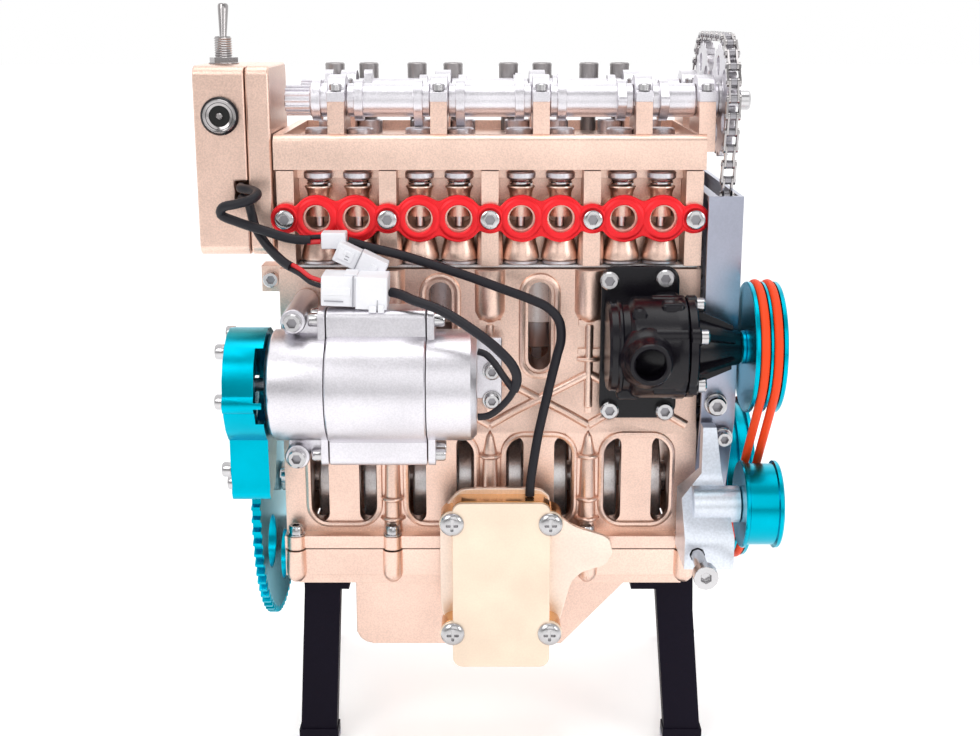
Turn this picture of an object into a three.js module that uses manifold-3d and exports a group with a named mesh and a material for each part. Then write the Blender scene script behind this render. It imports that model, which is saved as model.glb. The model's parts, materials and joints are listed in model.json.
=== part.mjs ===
// Display model of an inline four cylinder engine with twin overhead camshafts.
// Lengths are millimetres. While the pieces are shaped, X runs along the crankshaft, Y runs from
// the port side to the back, Z is up and the crankshaft's axis is at Y = Z = 0, mid length at X = 0.
// At the end the whole engine is moved so that it stands on the floor, centred on the origin.

import * as THREE from 'three';
import Module from 'manifold-3d';
import { mergeVertices } from 'three/addons/utils/BufferGeometryUtils.js';

const wasm = await Module();
wasm.setup();

// Driving dimensions
const cylinderCount = 4;
const cylinderPitch = 30.4;
const endWall = 3.2;
const boreRadius = 11;
const crankThrow = 6;
const rodLength = 60;
const pistonCrown = 8.5;
const deckClearance = 0.5;
const crankcaseDepth = 12;
const crankcaseHalfWidth = 31;
const barrelHalfWidth = 28;
const railHalfWidth = 36;
const gasketThickness = 0.9;
const headHeight = 28.4;
const portRise = 14.5;
const carrierHeight = 10.3;
const camshaftSpacing = 36;
const camshaftRise = 9.3;
const camTubeRadius = 5;
const camJournalRadius = 4;
const mainJournalRadius = 5;
const stubRadius = 3;
const floorDepth = 77;
const seatGap = 0.3;
const runningGap = 0.3;
const cutOver = 1;
const wall = 1.6;

// Drive train dimensions
const toothModule = 1.236;
const ringTeeth = 72;
const smallTeeth = 14;
const gearThickness = 2.8;
const ringStandoff = 8.6;
const starterAngleShare = 0.7757;
const camSprocketTeeth = 24;
const crankSprocketTeeth = 12;
const chainPitchRadius = 18.5;
const chainThickness = 2.8;
const chainWidth = 4.8;
const chainStandoff = 6.2;
const toothClearance = 0.35;
const coverWidth = 10.3;
const coverGap = 0.4;
const pulleyRim = 1.5;
const pulleyGroove = 2.5;
const pulleyRib = 1.2;
const beltThickness = 2.2;
const beltSink = 0.4;
const grooveDepth = 2;
const crankPulleyRadius = 26.5;
const pumpPulleyRadius = 19.3;
const idlerDrumRadius = 12.2;
const idlerFlangeRadius = 13.1;
const idlerShaftRadius = 2;
const pumpStandoff = 16.6;
const pumpDrop = 20.3;
const idlerStandoff = 12;
const idlerZ = 7;

// Smoothness of round shapes
const fineSides = 20;
const roundSides = 12;
const smallSides = 8;
const tinySides = 6;
const arcSteps = 3;
const cornerSteps = 2;
const weldDistance = 1e-4;

// Places worked out from the driving dimensions
const halfCount = cylinderCount / 2;
const blockHalfLength = halfCount * cylinderPitch + endWall;
const firstCylinderX = (0.5 - halfCount) * cylinderPitch;
const cylinderPlaces = Array.from({ length: cylinderCount }, (_, i) => firstCylinderX + i * cylinderPitch);
const bulkheadPlaces = Array.from({ length: cylinderCount + 1 }, (_, i) => (i - halfCount) * cylinderPitch);
const innerBulkheads = bulkheadPlaces.slice(1, -1);
const deckHeight = crankThrow + rodLength + pistonCrown + deckClearance;
const headBottom = deckHeight + 2 * seatGap + gasketThickness;
const headTop = headBottom + headHeight;
const portHeight = headBottom + portRise;
const carrierBottom = headTop + seatGap;
const carrierTop = carrierBottom + carrierHeight;
const camshaftHeight = carrierTop + camshaftRise;
const cams = [
  { name: 'exhaust', y: -camshaftSpacing / 2, turnShare: 0 },
  { name: 'intake', y: camshaftSpacing / 2, turnShare: 0.3 },
];
const ringOuterX = -blockHalfLength - ringStandoff;
const ringInnerX = ringOuterX + gearThickness;
const chainX = blockHalfLength + chainStandoff;
const sprocketLeft = chainX - gearThickness / 2;
const sprocketRight = chainX + gearThickness / 2;
const timingRadius = chainPitchRadius * (crankSprocketTeeth / camSprocketTeeth);
const pulleyX = blockHalfLength + seatGap + coverWidth + coverGap;
const pulleyWidth = 2 * pulleyRim + 2 * pulleyGroove + pulleyRib;
const pulleyEnd = pulleyX + pulleyWidth;
const pumpY = -barrelHalfWidth - pumpStandoff;
const pumpZ = deckHeight - pumpDrop;
const idlerY = -railHalfWidth - idlerStandoff;
const crankPulley = { y: 0, z: 0, radius: crankPulleyRadius, side: 1 };
const pumpPulley = { y: pumpY, z: pumpZ, radius: pumpPulleyRadius, side: 1 };
const idler = { y: idlerY, z: idlerZ, radius: idlerDrumRadius, side: -1 };
const starterAngle = starterAngleShare * Math.PI;
const ringPitchRadius = (ringTeeth * toothModule) / 2;
const smallPitchRadius = (smallTeeth * toothModule) / 2;
const pinionReach = ringPitchRadius + 3 * smallPitchRadius;
const idlerGearReach = ringPitchRadius + smallPitchRadius;
const motorY = pinionReach * Math.cos(starterAngle);
const motorZ = pinionReach * Math.sin(starterAngle);
const idlerGearY = idlerGearReach * Math.cos(starterAngle);
const idlerGearZ = idlerGearReach * Math.sin(starterAngle);

// Finishes
const finishes = {
  gold: { color: 0xd2b399, roughness: 0.42, metalness: 0.85 },
  paleGold: { color: 0xe6d0b2, roughness: 0.38, metalness: 0.75 },
  silver: { color: 0xcdced4, roughness: 0.34, metalness: 0.9 },
  steel: { color: 0xb9b8bb, roughness: 0.22, metalness: 1 },
  darkSteel: { color: 0x6d6668, roughness: 0.4, metalness: 0.9 },
  teal: { color: 0x00b4cf, roughness: 0.25, metalness: 0.8 },
  red: { color: 0xe3131d, roughness: 0.3, metalness: 0.5 },
  orange: { color: 0xf0431a, roughness: 0.6, metalness: 0 },
  black: { color: 0x17171b, roughness: 0.45, metalness: 0.1 },
  cable: { color: 0x1d1c22, roughness: 0.6, metalness: 0 },
  white: { color: 0xf1f1f2, roughness: 0.5, metalness: 0 },
};

const engine = new THREE.Group();

// Solids from geometry, joins and cuts
function solid(geometry) {
  const bare = geometry.clone();
  bare.deleteAttribute('normal');
  bare.deleteAttribute('uv');
  const welded = mergeVertices(bare, weldDistance);
  const corners = welded.index.array;
  const kept = [];
  for (let i = 0; i < corners.length; i += 3) {
    const [a, b, c] = [corners[i], corners[i + 1], corners[i + 2]];
    if (a !== b && b !== c && c !== a) kept.push(a, b, c);
  }
  const vertProperties = new Float32Array(welded.attributes.position.array);
  return new wasm.Manifold(new wasm.Mesh({ numProp: 3, vertProperties, triVerts: new Uint32Array(kept) }));
}

function join(...solids) {
  return solids.flat().reduce((sum, next) => sum.add(next));
}

function cut(base, ...tools) {
  return tools.flat().reduce((rest, tool) => rest.subtract(tool), base);
}

function place(name, body, finish) {
  const { vertProperties, triVerts } = body.getMesh();
  const geometry = new THREE.BufferGeometry();
  geometry.setAttribute('position', new THREE.BufferAttribute(vertProperties, 3));
  geometry.setIndex(new THREE.BufferAttribute(triVerts, 1));
  geometry.computeVertexNormals();
  const mesh = new THREE.Mesh(geometry, new THREE.MeshStandardMaterial(finishes[finish]));
  mesh.name = name;
  engine.add(mesh);
}

// Boxes from low and high sides
function block(x0, x1, y0, y1, z0, z1) {
  const box = new THREE.BoxGeometry(x1 - x0, y1 - y0, z1 - z0);
  return solid(box.translate((x0 + x1) / 2, (y0 + y1) / 2, (z0 + z1) / 2));
}

// A four sided bar between a low and a high rectangle, each given as x0, x1, y0, y1
function taperedBar(z0, low, z1, high) {
  const ring = ([x0, x1, y0, y1], z) => [x0, y0, z, x1, y0, z, x1, y1, z, x0, y1, z];
  const geometry = new THREE.BufferGeometry();
  const points = new Float32Array([...ring(low, z0), ...ring(high, z1)]);
  geometry.setAttribute('position', new THREE.BufferAttribute(points, 3));
  const faces = [0, 2, 1, 0, 3, 2, 4, 5, 6, 4, 6, 7];
  for (let i = 0; i < 4; i += 1) {
    const next = (i + 1) % 4;
    faces.push(i, next, next + 4, i, next + 4, i + 4);
  }
  geometry.setIndex(faces);
  return solid(geometry);
}

// Round bars along each axis
function barX(x0, x1, y, z, radius, sides = roundSides, endRadius = radius) {
  const bar = new THREE.CylinderGeometry(radius, endRadius, x1 - x0, sides);
  return solid(bar.rotateZ(Math.PI / 2).translate((x0 + x1) / 2, y, z));
}

function barY(y0, y1, x, z, radius, sides = roundSides) {
  const bar = new THREE.CylinderGeometry(radius, radius, y1 - y0, sides);
  return solid(bar.translate(x, (y0 + y1) / 2, z));
}

function barZ(z0, z1, x, y, radius, sides = roundSides, endRadius = radius) {
  const bar = new THREE.CylinderGeometry(endRadius, radius, z1 - z0, sides);
  return solid(bar.rotateX(Math.PI / 2).translate(x, y, (z0 + z1) / 2));
}

// A hole with its flats at the given radius, so that a bar of nearly that radius can turn in it
function holeX(x0, x1, y, z, radius, sides = smallSides) {
  return barX(x0 - cutOver, x1 + cutOver, y, z, radius / Math.cos(Math.PI / sides), sides);
}

// Outlines extruded along each axis; along X an outline is drawn in Y and Z, along Y in X and Z
const ontoX = new THREE.Matrix4().makeBasis(
  new THREE.Vector3(0, 1, 0),
  new THREE.Vector3(0, 0, 1),
  new THREE.Vector3(1, 0, 0),
);

function extruded(shape, depth) {
  return new THREE.ExtrudeGeometry(shape, { depth, bevelEnabled: false, curveSegments: cornerSteps });
}

function plateX(shape, x0, x1) {
  return solid(extruded(shape, x1 - x0).applyMatrix4(ontoX).translate(x0, 0, 0));
}

function plateY(shape, y0, y1) {
  return solid(extruded(shape, y1 - y0).rotateX(Math.PI / 2).translate(0, y1, 0));
}

function plateZ(shape, z0, z1) {
  return solid(extruded(shape, z1 - z0).translate(0, 0, z0));
}

function outline(points) {
  return new THREE.Shape(points.map(([a, b]) => new THREE.Vector2(a, b)));
}

function rounded(a0, a1, b0, b1, radius) {
  const shape = new THREE.Shape();
  shape.absarc(a1 - radius, b0 + radius, radius, -Math.PI / 2, 0);
  shape.absarc(a1 - radius, b1 - radius, radius, 0, Math.PI / 2);
  shape.absarc(a0 + radius, b1 - radius, radius, Math.PI / 2, Math.PI);
  shape.absarc(a0 + radius, b0 + radius, radius, Math.PI, (3 * Math.PI) / 2);
  return shape;
}

function rim(a0, a1, b0, b1, radius, width) {
  const shape = rounded(a0, a1, b0, b1, radius);
  shape.holes.push(rounded(a0 + width, a1 - width, b0 + width, b1 - width, radius - width));
  return shape;
}

// A toothed outline round a centre, with its first tooth at the given angle
function toothed(y, z, teeth, tip, root, firstAngle, toothShare = 0.42) {
  const step = (2 * Math.PI) / teeth;
  const points = [];
  for (let i = 0; i < teeth; i += 1) {
    const middle = firstAngle + i * step;
    const rootHalf = (toothShare * step) / 2 + step / 12;
    const tipHalf = (toothShare * step) / 2 - step / 12;
    for (const [radius, angle] of [
      [root, middle - rootHalf],
      [tip, middle - tipHalf],
      [tip, middle + tipHalf],
      [root, middle + rootHalf],
    ]) {
      points.push([y + radius * Math.cos(angle), z + radius * Math.sin(angle)]);
    }
  }
  return outline(points);
}

// The closed line of a belt round pulleys taken in turn; side is 1 inside the loop and -1 outside
function beltLine(pulleys, offset, stepAngle = Math.PI / 10) {
  const runs = pulleys.map((pulley, i) => {
    const next = pulleys[(i + 1) % pulleys.length];
    const [dy, dz] = [next.y - pulley.y, next.z - pulley.z];
    const change = next.side * next.radius - pulley.side * pulley.radius;
    return Math.atan2(dz, dy) - Math.asin(change / Math.hypot(dy, dz));
  });
  const points = [];
  pulleys.forEach((pulley, i) => {
    const arriving = runs[(i + pulleys.length - 1) % pulleys.length];
    let turn = runs[i] - arriving;
    while (turn * pulley.side < 0) turn += pulley.side * 2 * Math.PI;
    while (turn * pulley.side > 2 * Math.PI) turn -= pulley.side * 2 * Math.PI;
    const reach = pulley.side * pulley.radius + offset;
    const steps = Math.max(2, Math.ceil(Math.abs(turn) / stepAngle));
    for (let k = 0; k <= steps; k += 1) {
      const heading = arriving + (turn * k) / steps;
      points.push([pulley.y + reach * Math.sin(heading), pulley.z - reach * Math.cos(heading)]);
    }
  });
  return points;
}

function beltBand(pulleys, inner, thickness, x0, x1) {
  const shape = outline(beltLine(pulleys, inner + thickness));
  shape.holes.push(outline(beltLine(pulleys, inner)));
  return plateX(shape, x0, x1);
}

// Both sides of the engine, as the sign of Y
const sides = [-1, 1];

function towardsSide(side, near, far) {
  return side < 0 ? [-far, -near] : [near, far];
}

// Cylinder block
const barrelFoot = 30;
const slotHalfWidth = 2.75;
const slotOffset = 7.5;
const slotBottom = -5;
const slotTop = 23;
const crankcaseTop = 24;
const railThickness = 4;
const bulkheadThickness = 5.6;
const linerThickness = 1.5;
const linerHoleRadius = boreRadius + linerThickness + seatGap;
const windowHalfWidth = 3.5;
const windowHeight = 27.5;
const windowDrop = 4;
const windowTop = deckHeight - windowDrop;
const windowBottom = windowTop - windowHeight;
const windowRim = 2.6;
const rimWidth = 1.5;
const rimHeight = 1;
const rimCornerShare = 0.62;
const bossRadius = 4.6;
const bossLength = 13;
const bossBottom = deckHeight - bossLength;
const ribHalfWidth = 0.9;
const crossHalfWidth = 3.4;
const crossHeightShares = [0.78, 0.66];
const crankBoreRadius = mainJournalRadius + runningGap;
const cavityDepth = crankcaseHalfWidth - bulkheadThickness;
const barrelFront = -barrelHalfWidth - rimHeight - seatGap;
const crankcaseFront = -crankcaseHalfWidth - rimHeight - seatGap;

function blockSection() {
  const right = [
    [railHalfWidth, -crankcaseDepth],
    [railHalfWidth, -crankcaseDepth + railThickness],
    [crankcaseHalfWidth, -crankcaseDepth + railThickness],
    [crankcaseHalfWidth, crankcaseTop],
    [barrelHalfWidth, barrelFoot],
    [barrelHalfWidth, deckHeight],
  ];
  const left = right.map(([y, z]) => [-y, z]).reverse();
  return outline([...right, ...left]);
}

function slot(x, halfWidth, bottom, top) {
  return rounded(x - halfWidth, x + halfWidth, bottom, top, halfWidth);
}

function crankcaseFrame(x, side) {
  const half = slotOffset + slotHalfWidth + rimWidth;
  const corner = half * rimCornerShare;
  const shape = rim(x - half, x + half, slotBottom - rimWidth, slotTop + rimWidth, corner, rimWidth);
  return plateY(shape, ...towardsSide(side, crankcaseHalfWidth - rimHeight, crankcaseHalfWidth + rimHeight));
}

function barrelFrame(x, side) {
  const half = windowHalfWidth + windowRim;
  const shape = rim(x - half, x + half, windowBottom - windowRim, windowTop + windowRim, half, rimWidth);
  return plateY(shape, ...towardsSide(side, barrelHalfWidth - rimHeight, barrelHalfWidth + rimHeight));
}

function bulkheadRibs(x, side) {
  const reach = towardsSide(side, barrelHalfWidth - rimHeight, barrelHalfWidth + rimHeight);
  const boss = barZ(bossBottom, deckHeight, x, side * (barrelHalfWidth - rimHeight), bossRadius, smallSides);
  const spine = block(x - ribHalfWidth, x + ribHalfWidth, ...reach, barrelFoot, bossBottom + rimHeight);
  const crosses = crossHeightShares.map((share) => {
    const z = deckHeight * share;
    return block(x - crossHalfWidth, x + crossHalfWidth, ...reach, z - ribHalfWidth, z + ribHalfWidth);
  });
  return [boss, spine, ...crosses];
}

function blockCuts() {
  const removed = [];
  const cavityHalf = (cylinderPitch - bulkheadThickness) / 2;
  for (const x of cylinderPlaces) {
    for (const side of sides) {
      const through = towardsSide(side, linerHoleRadius / 2, railHalfWidth + cutOver);
      removed.push(plateY(slot(x, windowHalfWidth, windowBottom, windowTop), ...through));
      for (const hand of [-slotOffset, slotOffset]) {
        removed.push(plateY(slot(x + hand, slotHalfWidth, slotBottom, slotTop), ...through));
      }
    }
    const low = -crankcaseDepth - cutOver;
    removed.push(block(x - cavityHalf, x + cavityHalf, -cavityDepth, cavityDepth, low, barrelFoot));
    removed.push(barZ(barrelFoot - cutOver, deckHeight + cutOver, x, 0, linerHoleRadius));
  }
  removed.push(holeX(-blockHalfLength, blockHalfLength, 0, 0, crankBoreRadius));
  return removed;
}

// The lug at the left end that carries the battery box
function batteryLug() {
  const length = 6.2;
  const half = 4;
  const y = -18;
  const end = -blockHalfLength;
  return block(end - length, end + cutOver, y - half, y + half, deckHeight - 2 * half, deckHeight);
}

function cylinderBlock() {
  const frames = cylinderPlaces.flatMap((x) => [crankcaseFrame(x, -1), barrelFrame(x, -1)]);
  const ribs = sides.flatMap((side) => innerBulkheads.flatMap((x) => bulkheadRibs(x, side)));
  const casting = plateX(blockSection(), -blockHalfLength, blockHalfLength);
  place('cylinder_block', cut(join(casting, frames, ribs, batteryLug()), blockCuts()), 'gold');
}

// Cylinder liners, joined by their top flange, which seals the head
function linerSet() {
  const linerLength = 20;
  const flangeInset = 1;
  const bottom = deckHeight - linerLength;
  const flangeBottom = deckHeight + seatGap;
  const top = flangeBottom + gasketThickness;
  const half = blockHalfLength - flangeInset;
  const width = barrelHalfWidth - flangeInset;
  const flange = block(-half, half, -width, width, flangeBottom, top);
  const tubes = cylinderPlaces.map((x) => barZ(bottom, top, x, 0, boreRadius + linerThickness));
  const bores = cylinderPlaces.map((x) => barZ(bottom - cutOver, top + cutOver, x, 0, boreRadius));
  place('liner_set', cut(join(flange, tubes), bores), 'silver');
}

// Oil sump
const sumpTop = -crankcaseDepth - seatGap;
const sumpRailDepth = 8.7;
const sumpStepDepth = 4;
const sumpRailBottom = sumpTop - sumpRailDepth;
const sumpStepBottom = sumpRailBottom - sumpStepDepth;

function oilSump() {
  const panDepth = 35.7;
  const panBottom = sumpTop - panDepth;
  const panFront = 28;
  const panLeft = -43;
  const panLeftFoot = -38;
  const panSlopeTop = 44.5;
  const panSlopeFoot = 23;
  const panCorner = 4;
  const stepInset = 3.5;
  const boltBossRadius = 3;
  const half = blockHalfLength;
  const stepHalf = half - stepInset;
  const stepWidth = railHalfWidth - stepInset;
  const wellHalf = half - 2 * wall;
  const rail = block(-half, half, -railHalfWidth, railHalfWidth, sumpRailBottom, sumpTop);
  const step = block(-stepHalf, stepHalf, -stepWidth, stepWidth, sumpStepBottom, sumpRailBottom + cutOver);
  const pan = outline([
    [panLeft, sumpStepBottom + cutOver],
    [panLeft, panBottom + panCorner],
    [panLeftFoot, panBottom],
    [panSlopeFoot, panBottom],
    [panSlopeTop, sumpStepBottom],
    [panSlopeTop, sumpStepBottom + cutOver],
  ]);
  const inside = outline([
    [panLeft + wall, sumpTop + cutOver],
    [panLeft + wall, panBottom + panCorner],
    [panLeftFoot + wall, panBottom + wall],
    [panSlopeFoot - wall, panBottom + wall],
    [panSlopeTop - wall, sumpStepBottom + wall],
    [panSlopeTop - wall, sumpTop + cutOver],
  ]);
  const bosses = sides.flatMap((side) => innerBulkheads.map((x) =>
    barZ(sumpRailBottom, sumpTop, x, side * railHalfWidth, boltBossRadius, tinySides)));
  const body = join(rail, step, plateY(pan, -panFront, panFront), bosses);
  const well = block(-wellHalf, wellHalf, -cavityDepth, cavityDepth, sumpRailBottom, sumpTop + cutOver);
  place('oil_sump', cut(body, well, plateY(inside, -panFront + wall, panFront - wall)), 'gold');
}

// Crankshaft with disc webs; the outer pair of throws points up and the inner pair down at rest
const pinRadius = 4;
const webRadius = 17;
const webThickness = 5;
const webInner = 4.7;
const throwSigns = [1, -1, -1, 1];

function crankThrows() {
  const webOuter = webInner + webThickness;
  const reach = webInner + cutOver;
  return cylinderPlaces.flatMap((x, i) => [
    barX(x - reach, x + reach, 0, throwSigns[i] * crankThrow, pinRadius, smallSides),
    barX(x - webOuter, x - webInner, 0, 0, webRadius),
    barX(x + webInner, x + webOuter, 0, 0, webRadius),
  ]);
}

function crankshaft() {
  const journalStart = ringInnerX + seatGap;
  const starts = [journalStart, ...cylinderPlaces.map((x) => x + webInner + cutOver)];
  const ends = [...cylinderPlaces.map((x) => x - webInner - cutOver), pulleyX - seatGap];
  const journals = starts.map((x, i) => barX(x, ends[i], 0, 0, mainJournalRadius, smallSides));
  const stubs = [
    barX(ringOuterX, journalStart + cutOver, 0, 0, stubRadius, smallSides),
    barX(pulleyX - cutOver, pulleyEnd, 0, 0, stubRadius, smallSides),
  ];
  const tip = timingRadius - chainThickness / 2 - toothClearance;
  const teeth = toothed(0, 0, crankSprocketTeeth, tip, tip - toothModule, Math.PI / 2);
  const sprocket = plateX(teeth, sprocketLeft, sprocketRight);
  place('crankshaft', join(crankThrows(), journals, stubs, sprocket), 'steel');
}

// Connecting rods with their small end bushes, wrist pins and pistons
const rodHalfThickness = 2;
const pistonRadius = boreRadius - runningGap;
const pistonWall = 1.1;
const pistonSkirt = 7.5;
const crownThickness = 2.5;
const bigEndWall = 2.6;
const eyeRadius = 3;
const eyeHoleRadius = 1.85;
const wristPinRadius = 3.5;
const wristPinLength = 5.8;

function connectingRod(x, i) {
  const pinZ = throwSigns[i] * crankThrow;
  const eyeZ = pinZ + rodLength;
  const shankHalf = 1.8;
  const x0 = x - rodHalfThickness;
  const x1 = x + rodHalfThickness;
  const shankFoot = pinZ + pinRadius + wall;
  const shankTop = eyeZ - eyeHoleRadius;
  const shankInset = wall / 4;
  const bigEnd = barX(x0, x1, 0, pinZ, pinRadius + bigEndWall);
  const eye = barX(x0, x1, 0, eyeZ, eyeRadius, smallSides);
  const shank = block(x0 + shankInset, x1 - shankInset, -shankHalf, shankHalf, shankFoot, shankTop);
  const holes = [
    holeX(x0, x1, 0, pinZ, pinRadius + runningGap),
    holeX(x0, x1, 0, eyeZ, eyeHoleRadius),
  ];
  place(`connecting_rod_${i + 1}`, cut(join(bigEnd, eye, shank), holes), 'silver');
  place(`small_end_bush_${i + 1}`, barX(x0, x1, 0, eyeZ, eyeHoleRadius - seatGap / 2, smallSides), 'steel');
}

function piston(x, i) {
  const pinZ = throwSigns[i] * crankThrow + rodLength;
  const low = pinZ - pistonSkirt;
  const high = pinZ + pistonCrown;
  const shell = barZ(low, high, x, 0, pistonRadius);
  const inside = barZ(low - cutOver, high - crownThickness, x, 0, pistonRadius - pistonWall);
  place(`piston_${i + 1}`, cut(shell, inside), 'darkSteel');
  const pinStart = x + rodHalfThickness + runningGap;
  const wristPin = barX(pinStart, pinStart + wristPinLength, 0, pinZ, wristPinRadius, smallSides);
  place(`wrist_pin_${i + 1}`, wristPin, 'steel');
}

// Flywheel ring gear, the idler gear and the starter's pinion, in mesh at rest
const addendum = 0.6 * toothModule;
const dedendum = toothModule;
const windowCount = 6;
const windowReachShare = 0.63;
const windowRadius = 8.4;

function gear(name, y, z, teeth, pitchRadius, firstAngle, holes) {
  const shape = toothed(y, z, teeth, pitchRadius + addendum, pitchRadius - dedendum, firstAngle);
  place(name, cut(plateX(shape, ringOuterX, ringInnerX), holes), 'teal');
}

function starterGears() {
  const reach = windowReachShare * ringPitchRadius;
  const holes = [holeX(ringOuterX, ringInnerX, 0, 0, stubRadius + seatGap)];
  for (let i = 0; i < windowCount; i += 1) {
    const angle = ((i + 0.5) * 2 * Math.PI) / windowCount;
    const [y, z] = [reach * Math.cos(angle), reach * Math.sin(angle)];
    holes.push(holeX(ringOuterX, ringInnerX, y, z, windowRadius));
  }
  gear('flywheel_gear', 0, 0, ringTeeth, ringPitchRadius, starterAngle, holes);
  const gapAngle = starterAngle + Math.PI + Math.PI / smallTeeth;
  gear('idler_gear', idlerGearY, idlerGearZ, smallTeeth, smallPitchRadius, gapAngle, []);
  gear('starter_pinion', motorY, motorZ, smallTeeth, smallPitchRadius, starterAngle + Math.PI, []);
}

// Gear housing over the starter train, with lugs for its bolts
const housingWall = 2.2;
const housingDepth = 11.1;
const housingLeft = ringOuterX - housingWall;
const housingRight = housingLeft + housingDepth;
const housingHeadRadius = 16.8;

function housingCuts() {
  const gearClearance = 1.2;
  const viewDrop = 7.7;
  const viewRise = 13.2;
  const clearRadius = smallPitchRadius + addendum + gearClearance;
  const ringClear = ringPitchRadius + addendum + gearClearance;
  const left = ringOuterX - 2 * seatGap;
  const right = ringInnerX + 2 * seatGap;
  const front = motorY - housingHeadRadius - cutOver;
  return [
    barX(left, right, 0, 0, ringClear, fineSides),
    barX(left, right, idlerGearY, idlerGearZ, clearRadius),
    barX(left, right, motorY, motorZ, clearRadius),
    barX(right - cutOver, housingRight + cutOver, motorY, motorZ, housingHeadRadius - 2 * wall),
    block(right + 2 * wall, housingRight + cutOver, front, motorY, motorZ - viewDrop, motorZ + viewRise),
  ];
}

function gearHousing() {
  const footRadius = 6.6;
  const footY = -55.5;
  const footZ = 20.4;
  const lugRadius = 3;
  const lugInset = 1.6;
  const front = footY - footRadius;
  const head = barX(housingLeft, housingRight, motorY, motorZ, housingHeadRadius, fineSides);
  const foot = barX(housingLeft, housingRight, footY, footZ, footRadius);
  const neck = plateX(outline([
    [front, motorZ - lugRadius],
    [front, footZ],
    [footY + 0.7 * footRadius, footZ - 0.7 * footRadius],
    [motorY + housingHeadRadius, motorZ],
  ]), housingLeft, housingRight);
  const lugs = [
    [motorY - housingHeadRadius + lugInset, motorZ - lugInset],
    [front + lugRadius, footZ - footRadius + lugInset],
  ].map(([y, z]) => barX(housingLeft, housingRight, y, z, lugRadius, smallSides));
  place('gear_housing', cut(join(head, foot, neck, lugs), housingCuts()), 'teal');
}

// Starter motor in three cast pieces, with mounting lugs onto the block
const motorCapRadius = 16.2;
const motorBodyRadius = 17;
const motorFlange = 2.2;
const motorFrontX = housingRight + seatGap;
const frontCapLength = 16.7;
const motorBodyLength = 28.8;
const rearCapLength = 14.1;
const frontSeam = motorFrontX + frontCapLength;
const rearSeam = frontSeam + motorBodyLength;
const motorRearX = rearSeam + rearCapLength;

function motorRound(x0, x1, radius) {
  return barX(x0, x1, motorY, motorZ, radius, fineSides);
}

function motorColumn(x0, x1) {
  const halfWidth = 6.5;
  const halfHeight = 23.1;
  const corner = 3;
  const low = motorZ - halfHeight;
  const high = motorZ + halfHeight;
  return plateX(rounded(motorY - halfWidth, motorY + halfWidth, low, high, corner), x0, x1);
}

function motorFrontCap() {
  const lugInset = 7.7;
  const lugX = motorFrontX + lugInset;
  const lugOffset = 20;
  const lugRadius = 3.6;
  const lugStart = 6.5;
  const shaftRadius = 2;
  const front = motorY - lugStart;
  const lugs = [
    barY(front, crankcaseFront, lugX, motorZ - lugOffset, lugRadius, smallSides),
    barY(front, barrelFront, lugX, motorZ + lugOffset, lugRadius, smallSides),
  ];
  const webSides = [motorY - motorFlange, motorY + motorFlange];
  const webs = block(lugX, frontSeam, ...webSides, motorZ - lugOffset, motorZ + lugOffset);
  const shaft = barX(ringInnerX + seatGap, motorFrontX + cutOver, motorY, motorZ, shaftRadius, smallSides);
  const round = motorRound(motorFrontX, frontSeam, motorCapRadius);
  const column = motorColumn(frontSeam - motorFlange, frontSeam);
  place('motor_front_cap', join(round, column, webs, shaft, lugs), 'silver');
}

function motorRearCap() {
  const footThickness = 2.4;
  const footHalf = 9.5;
  const footOverhang = 7.4;
  const footLeft = motorRearX - 2 * motorFlange;
  const footRight = motorRearX + footOverhang;
  const footFront = crankcaseFront - footThickness;
  const webHeights = [motorZ - motorFlange, motorZ + motorFlange];
  const rear = join(
    motorRound(rearSeam, motorRearX, motorCapRadius),
    motorColumn(rearSeam, rearSeam + motorFlange),
    block(footLeft, footRight, footFront, crankcaseFront, motorZ - footHalf, motorZ + footHalf),
    block(footLeft, motorRearX, motorY, crankcaseFront - seatGap, ...webHeights),
  );
  place('motor_rear_cap', rear, 'silver');
}

function starterMotor() {
  const left = frontSeam + seatGap;
  const right = rearSeam - seatGap;
  motorFrontCap();
  place('motor_body', join(motorRound(left, right, motorBodyRadius), motorColumn(left, right)), 'silver');
  motorRearCap();
}

// Cylinder head with its pillars, ports and guide bosses
const headCoreHalf = 20;
const headFaceHalf = 31;
const pillarHalf = 2.6;
const portOffset = 5.9;
const portRadius = 3.9;
const portBossRadius = 6.2;
const portPlaces = cylinderPlaces.flatMap((x) => [x - portOffset, x + portOffset]);

// The pillars between the ports, half of each end one being cut off by the head's end
function headPillars(side) {
  const columnRadius = 3.9;
  const columnDrop = 4;
  const reach = towardsSide(side, headCoreHalf - cutOver, headFaceHalf);
  const pillars = bulkheadPlaces.map((x) => {
    const x0 = Math.max(x - pillarHalf, -blockHalfLength);
    const x1 = Math.min(x + pillarHalf, blockHalfLength);
    return block(x0, x1, ...reach, headBottom, headTop);
  });
  const columnY = side * (headFaceHalf - columnRadius);
  const columns = innerBulkheads.map((x) =>
    barZ(headBottom, portHeight - columnDrop, x, columnY, columnRadius, smallSides));
  return [...pillars, ...columns];
}

function portBosses(side) {
  const guideRadius = 3.3;
  const guideDrop = 5.5;
  const guideStandoff = 5;
  const guideY = side * (headCoreHalf + guideStandoff);
  const reach = towardsSide(side, headCoreHalf - cutOver, headFaceHalf);
  return portPlaces.flatMap((x) => [
    barY(...reach, x, portHeight, portBossRadius, smallSides),
    barZ(portHeight, headTop - guideDrop, x, guideY, guideRadius, tinySides),
  ]);
}

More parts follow.
